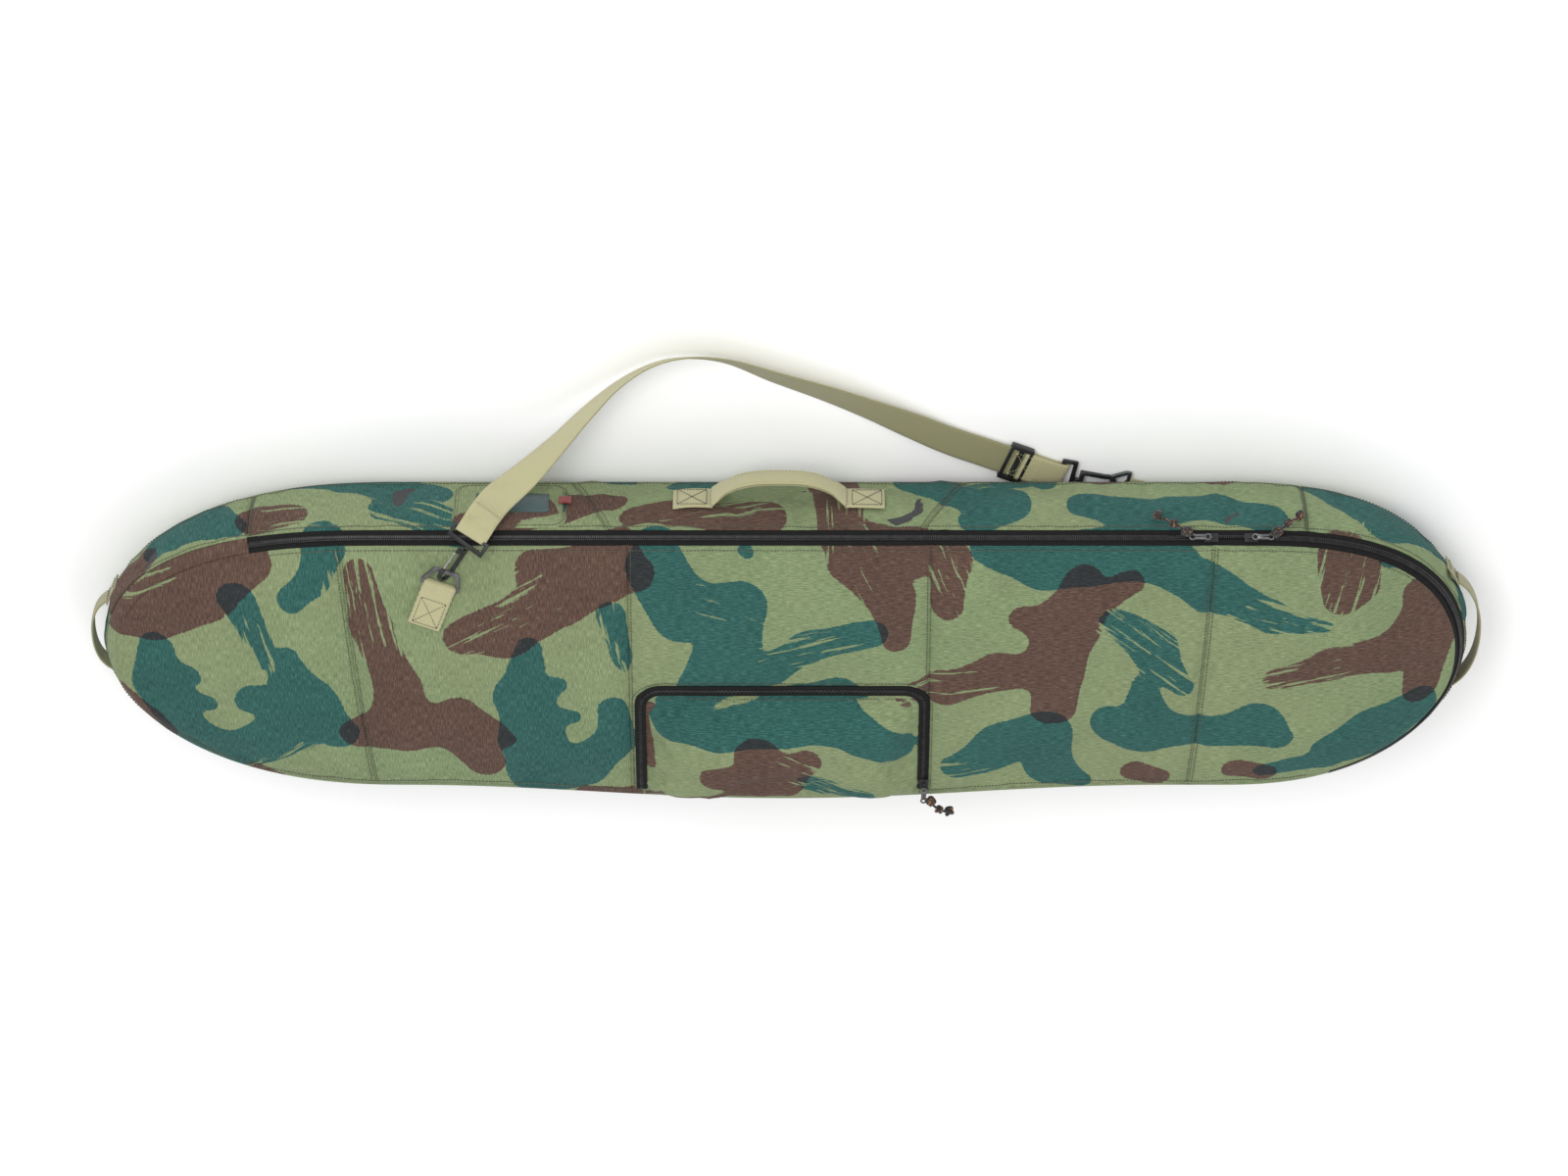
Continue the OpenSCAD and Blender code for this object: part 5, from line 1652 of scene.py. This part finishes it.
def make_ring_tab():
    """Webbing folded round the ring's bar and sewn flat on the front with a box and a cross."""
    down = -np.array((-math.sin(RING_YAW), math.cos(RING_YAW), 0))
    side = np.array((math.cos(RING_YAW), math.sin(RING_YAW), 0))
    bar = RING_EYE_LEFT + down * RING_DEPTH + np.array((0, 0, -0.0042))
    reach = np.linspace(0.006, 0.052, 40)
    flat = bar[None, :] + down[None, :] * reach[:, None]
    surface, out = on_front(flat[:, :2], np.zeros(len(flat)))
    wide = np.max([on_front(flat[:, :2] + side[None, :2] * k, np.zeros(len(flat)))[0][:, 2] for k in (-0.017, 0, 0.017)], axis=0)
    low = surface.copy()
    low[:, 2] = wide + 0.0016
    high = low + np.array((0, 0, 0.0026))
    turn = np.linspace(-math.pi / 2 - 0.35, math.pi / 2 + 0.3, 14)
    loop = bar[None, :] - down[None, :] * (np.cos(turn) * 0.0042)[:, None] + np.array((0, 0, 1.0)) * (np.sin(turn) * 0.0042)[:, None]
    path = np.concatenate([low[::-1], loop, high])
    path = smooth_path(path, 3)
    tab = web("ring_tab_webbing", path, np.broadcast_to(side, path.shape), WEB_W, WEB_T, khaki, fray=0.0004)
    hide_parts("ring_tab_left")
    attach(tab, "bag")
    seams = Seams()
    centre = high[len(high) // 2 + 3] + np.array((0, 0, 0.0011))
    slope = unit(high[-1] - high[4])
    box_cross(seams, centre, slope, side, np.cross(side, slope) * -1 if np.cross(side, slope)[2] < 0 else np.cross(side, slope), 0.032, 0.030)
    threads = seams.make("ring_tab_stitches", thread)
    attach(threads, "bag")


def smooth_path(path, times):
    for _ in range(times):
        path = np.concatenate([path[:1], (path[:-2] + 2 * path[1:-1] + path[2:]) / 4, path[-1:]])
    return path


def make_strap_ends():
    """The strap's end goes round the loop's bar and is sewn back on itself."""
    yaw, pitch = math.radians(-34), math.radians(-11.5)
    aim = np.array((-math.sin(yaw) * math.cos(pitch), math.cos(yaw) * math.cos(pitch), math.sin(pitch)))
    bar = RING_EYE_LEFT + aim * (0.038 + 0.0172)
    ends = []
    for name, at, point, way in (("left", bar, 0, 1), ("right", np.array((0.3202, 0.1796, 0.0044)), len(strap_points) - 1, -1)):
        rows = [point + way * k for k in range(0, 16 if name == "left" else 12)]
        p, m, s = strap_points[rows], strap_m[rows], strap_s[rows]
        gap = 0.0026
        back = unit(at - p[0])
        up = unit(m[0] - back * np.dot(m[0], back))
        turn = np.linspace(math.pi / 2, -math.pi / 2, 12)
        loop = at[None, :] + back[None, :] * (np.cos(turn) * 0.0036)[:, None] + up[None, :] * (np.sin(turn) * 0.0036)[:, None]
        path = np.concatenate([(p + m * gap)[::-1], loop, p - m * gap])
        side = np.concatenate([s[::-1], np.broadcast_to(s[0], loop.shape), s])
        path = smooth_path(path, 2)
        floor_z = np.maximum(path[:, 2], 0.0014)
        path[:, 2] = floor_z
        end = web("strap_fold_" + name, path, side, WEB_W, 0.0021, khaki, khaki)
        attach(end, "strap" if name == "left" else "strap")
        ends.append(end)
    return ends


make_ring_tab()
strap_ends = make_strap_ends()

HARDWARE = [
    ("ring_left", dark_steel, "dee_left", 0.0011, "ring_metal"), ("ring_right", dark_steel, "snap_right", 0.0011, "ring_metal"),
    ("hook_left", black, "snap_left", 0.0010, "hook_black"), ("hook_right", black, "snap_right", 0.0010, "hook_black"),
    ("gate_left", steel, "snap_gate_left", 0.0003, "gate_wire"), ("gate_right", steel, "snap_gate_right", 0.0003, "gate_wire"),
    ("strap_loop_left", black, "strap", 0.0010, "hook_black"), ("strap_loop_right", black, "swivel_loop_right", 0.0010, "hook_black"),
    ("ring_tab_right", khaki, "bag", 0.0003, "webbing_khaki"), ("strap_adjuster", black, "triglide", 0.0007, "hook_black"),
    ("slider_left", black, "runner_left", 0.0005, "zip_slider"), ("slider_right", black, "runner_right", 0.0005, "zip_slider"),
    ("pocket_slider", black, "pocket_runner", 0.0005, "zip_slider"),
    ("pull_left", dark_steel, "puller_left", 0.0003, "pull_metal"), ("pull_right", dark_steel, "puller_right", 0.0003, "pull_metal"),
    ("pocket_pull", dark_steel, "pocket_puller", 0.0003, "pull_metal")]
for node, mat, body, bevel, slot in HARDWARE:
    refine(node, mat, body, bevel)

# ---- name pocket: cloth frame, clear window, card and a plain side tab ----


def on_wall(x, z, lift):
    """Points standing off the finished top wall at places x along it and heights z."""
    rail, hs, grid, out = wall_parts["top"]
    xs = rail[0][:, 0]
    row = np.clip(np.interp(x, xs, np.arange(len(xs))), 0, len(xs) - 1.001)
    i = row.astype(int)
    f = (row - i)[..., None, None]
    column = grid[i] * (1 - f) + grid[i + 1] * f
    flat = column.reshape(-1, len(hs), 3)
    y = np.array([np.interp(h, *((c[::-1, 2], c[::-1, 1]) if c[0, 2] > c[-1, 2] else (c[:, 2], c[:, 1])))
                  for c, h in zip(flat, np.ravel(z))]).reshape(np.shape(x))
    return np.stack([x, y + lift, z], -1)


def rounded_box(x0, x1, z0, z1, radius, n=12):
    """Outline of a box with round corners, anticlockwise from its lower right corner."""
    turn = np.linspace(0, math.pi / 2, n)
    points = []
    for cx, cz, start in ((x1 - radius, z0 + radius, -math.pi / 2), (x1 - radius, z1 - radius, 0),
                          (x0 + radius, z1 - radius, math.pi / 2), (x0 + radius, z0 + radius, math.pi)):
        points += [(cx + radius * math.cos(start + t), cz + radius * math.sin(start + t)) for t in turn]
    return np.array(points)


def make_name_pocket():
    outer = rounded_box(ID_X[0], ID_X[1], ID_Z[0], ID_Z[1], 0.017)
    inner = rounded_box(ID_X[0] + 0.026, ID_X[1] - 0.021, ID_Z[0] + 0.022, ID_Z[1] - 0.022, 0.004)
    outer, inner = np.append(outer, outer[:1], 0), np.append(inner, inner[:1], 0)
    share = np.array((0, 0.02, 0.06, 0.16, 0.3, 0.5, 0.7, 0.85, 0.95, 1.0))
    plan = outer[:, None] * (1 - share)[None, :, None] + inner[:, None] * share[None, :, None]
    swell = 0.0004 + 0.0030 * (1 - (1 - np.clip(share / 0.3, 0, 1)) ** 3) * np.ones(len(outer))[:, None]
    face = on_wall(plan[..., 0], plan[..., 1], swell)
    face[..., 1] = np.maximum(face[..., 1], np.where(share > 0.25, 0.1946, 0)[None, :])
    under = on_wall(plan[..., 0], plan[..., 1], 0.0002)
    uv = np.stack([plan[..., 0] + 0.05, HALF_TOP + 0.135 - plan[..., 1]], -1)
    cloth = slab_piece("name_pocket_frame", face[:, ::-1], under[:, ::-1], uv[:, ::-1], camo, ink=True)
    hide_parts("id_pocket")
    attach(cloth, "bag")
    card_cloth = Nodes("card_stock", roughness=0.45)
    tone = card_cloth.noise(card_cloth.place(), 60, 3)
    grain = card_cloth.noise(card_cloth.place(), 700, 2)
    card_mat = card_cloth.finish(card_cloth.mix(tone, (0.010, 0.045, 0.050), (0.022, 0.075, 0.080)), None, grain, 0.0002, 0.3)
    refine("id_card", card_mat, "name_card", 0.0001)
    pane = Nodes("clear_window", roughness=0.15, coat=0.3)
    pane.bsdf.inputs["Alpha"].default_value = 0.05
    haze = pane.noise(pane.place(), 90, 3)
    pane_mat = pane.finish(pane.mix(haze, (0.50, 0.55, 0.55), (0.75, 0.78, 0.78)), None, haze, 0.0006, 0.4)
    x = np.linspace(ID_X[0] + 0.024, ID_X[1] - 0.019, 24)
    z = np.linspace(ID_Z[0] + 0.020, ID_Z[1] - 0.020, 12)
    grid = np.stack(np.broadcast_arrays(x[:, None], 0.1944, z[None, :]), -1).astype(float)
    grid[..., 1] += 0.0002 * ripple(grid * 30, 1.0)
    window = slab_piece("name_window", grid, grid - np.array((0, 0.0002, 0)), grid[..., ::2], pane_mat)
    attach(window, "bag")
    seams = Seams()
    for inset, height in ((0.10, 0.0026), (0.22, 0.0033)):
        line = outer * (1 - inset) + inner * inset
        seams.line(on_wall(line[:, 0], line[:, 1], height), np.broadcast_to((0, 1.0, 0), (len(line), 3)))
    threads = seams.make("name_pocket_stitches", thread)
    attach(threads, "bag")
    red = webbing_material("red_tab_cloth", (0.20, 0.015, 0.012), (0.36, 0.04, 0.03), 0.0009)
    t = np.linspace(0, 1, 14)
    points = np.stack([ID_X[1] - 0.010 + 0.015 * t, 0.1972 + 0.0010 * np.sin(t * 3), np.full_like(t, 0.080)], -1)
    tab = web("side_tab", points, np.broadcast_to((0, 0, 1.0), points.shape), 0.014, 0.0010, red, across=8)
    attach(tab, "bag")


make_name_pocket()
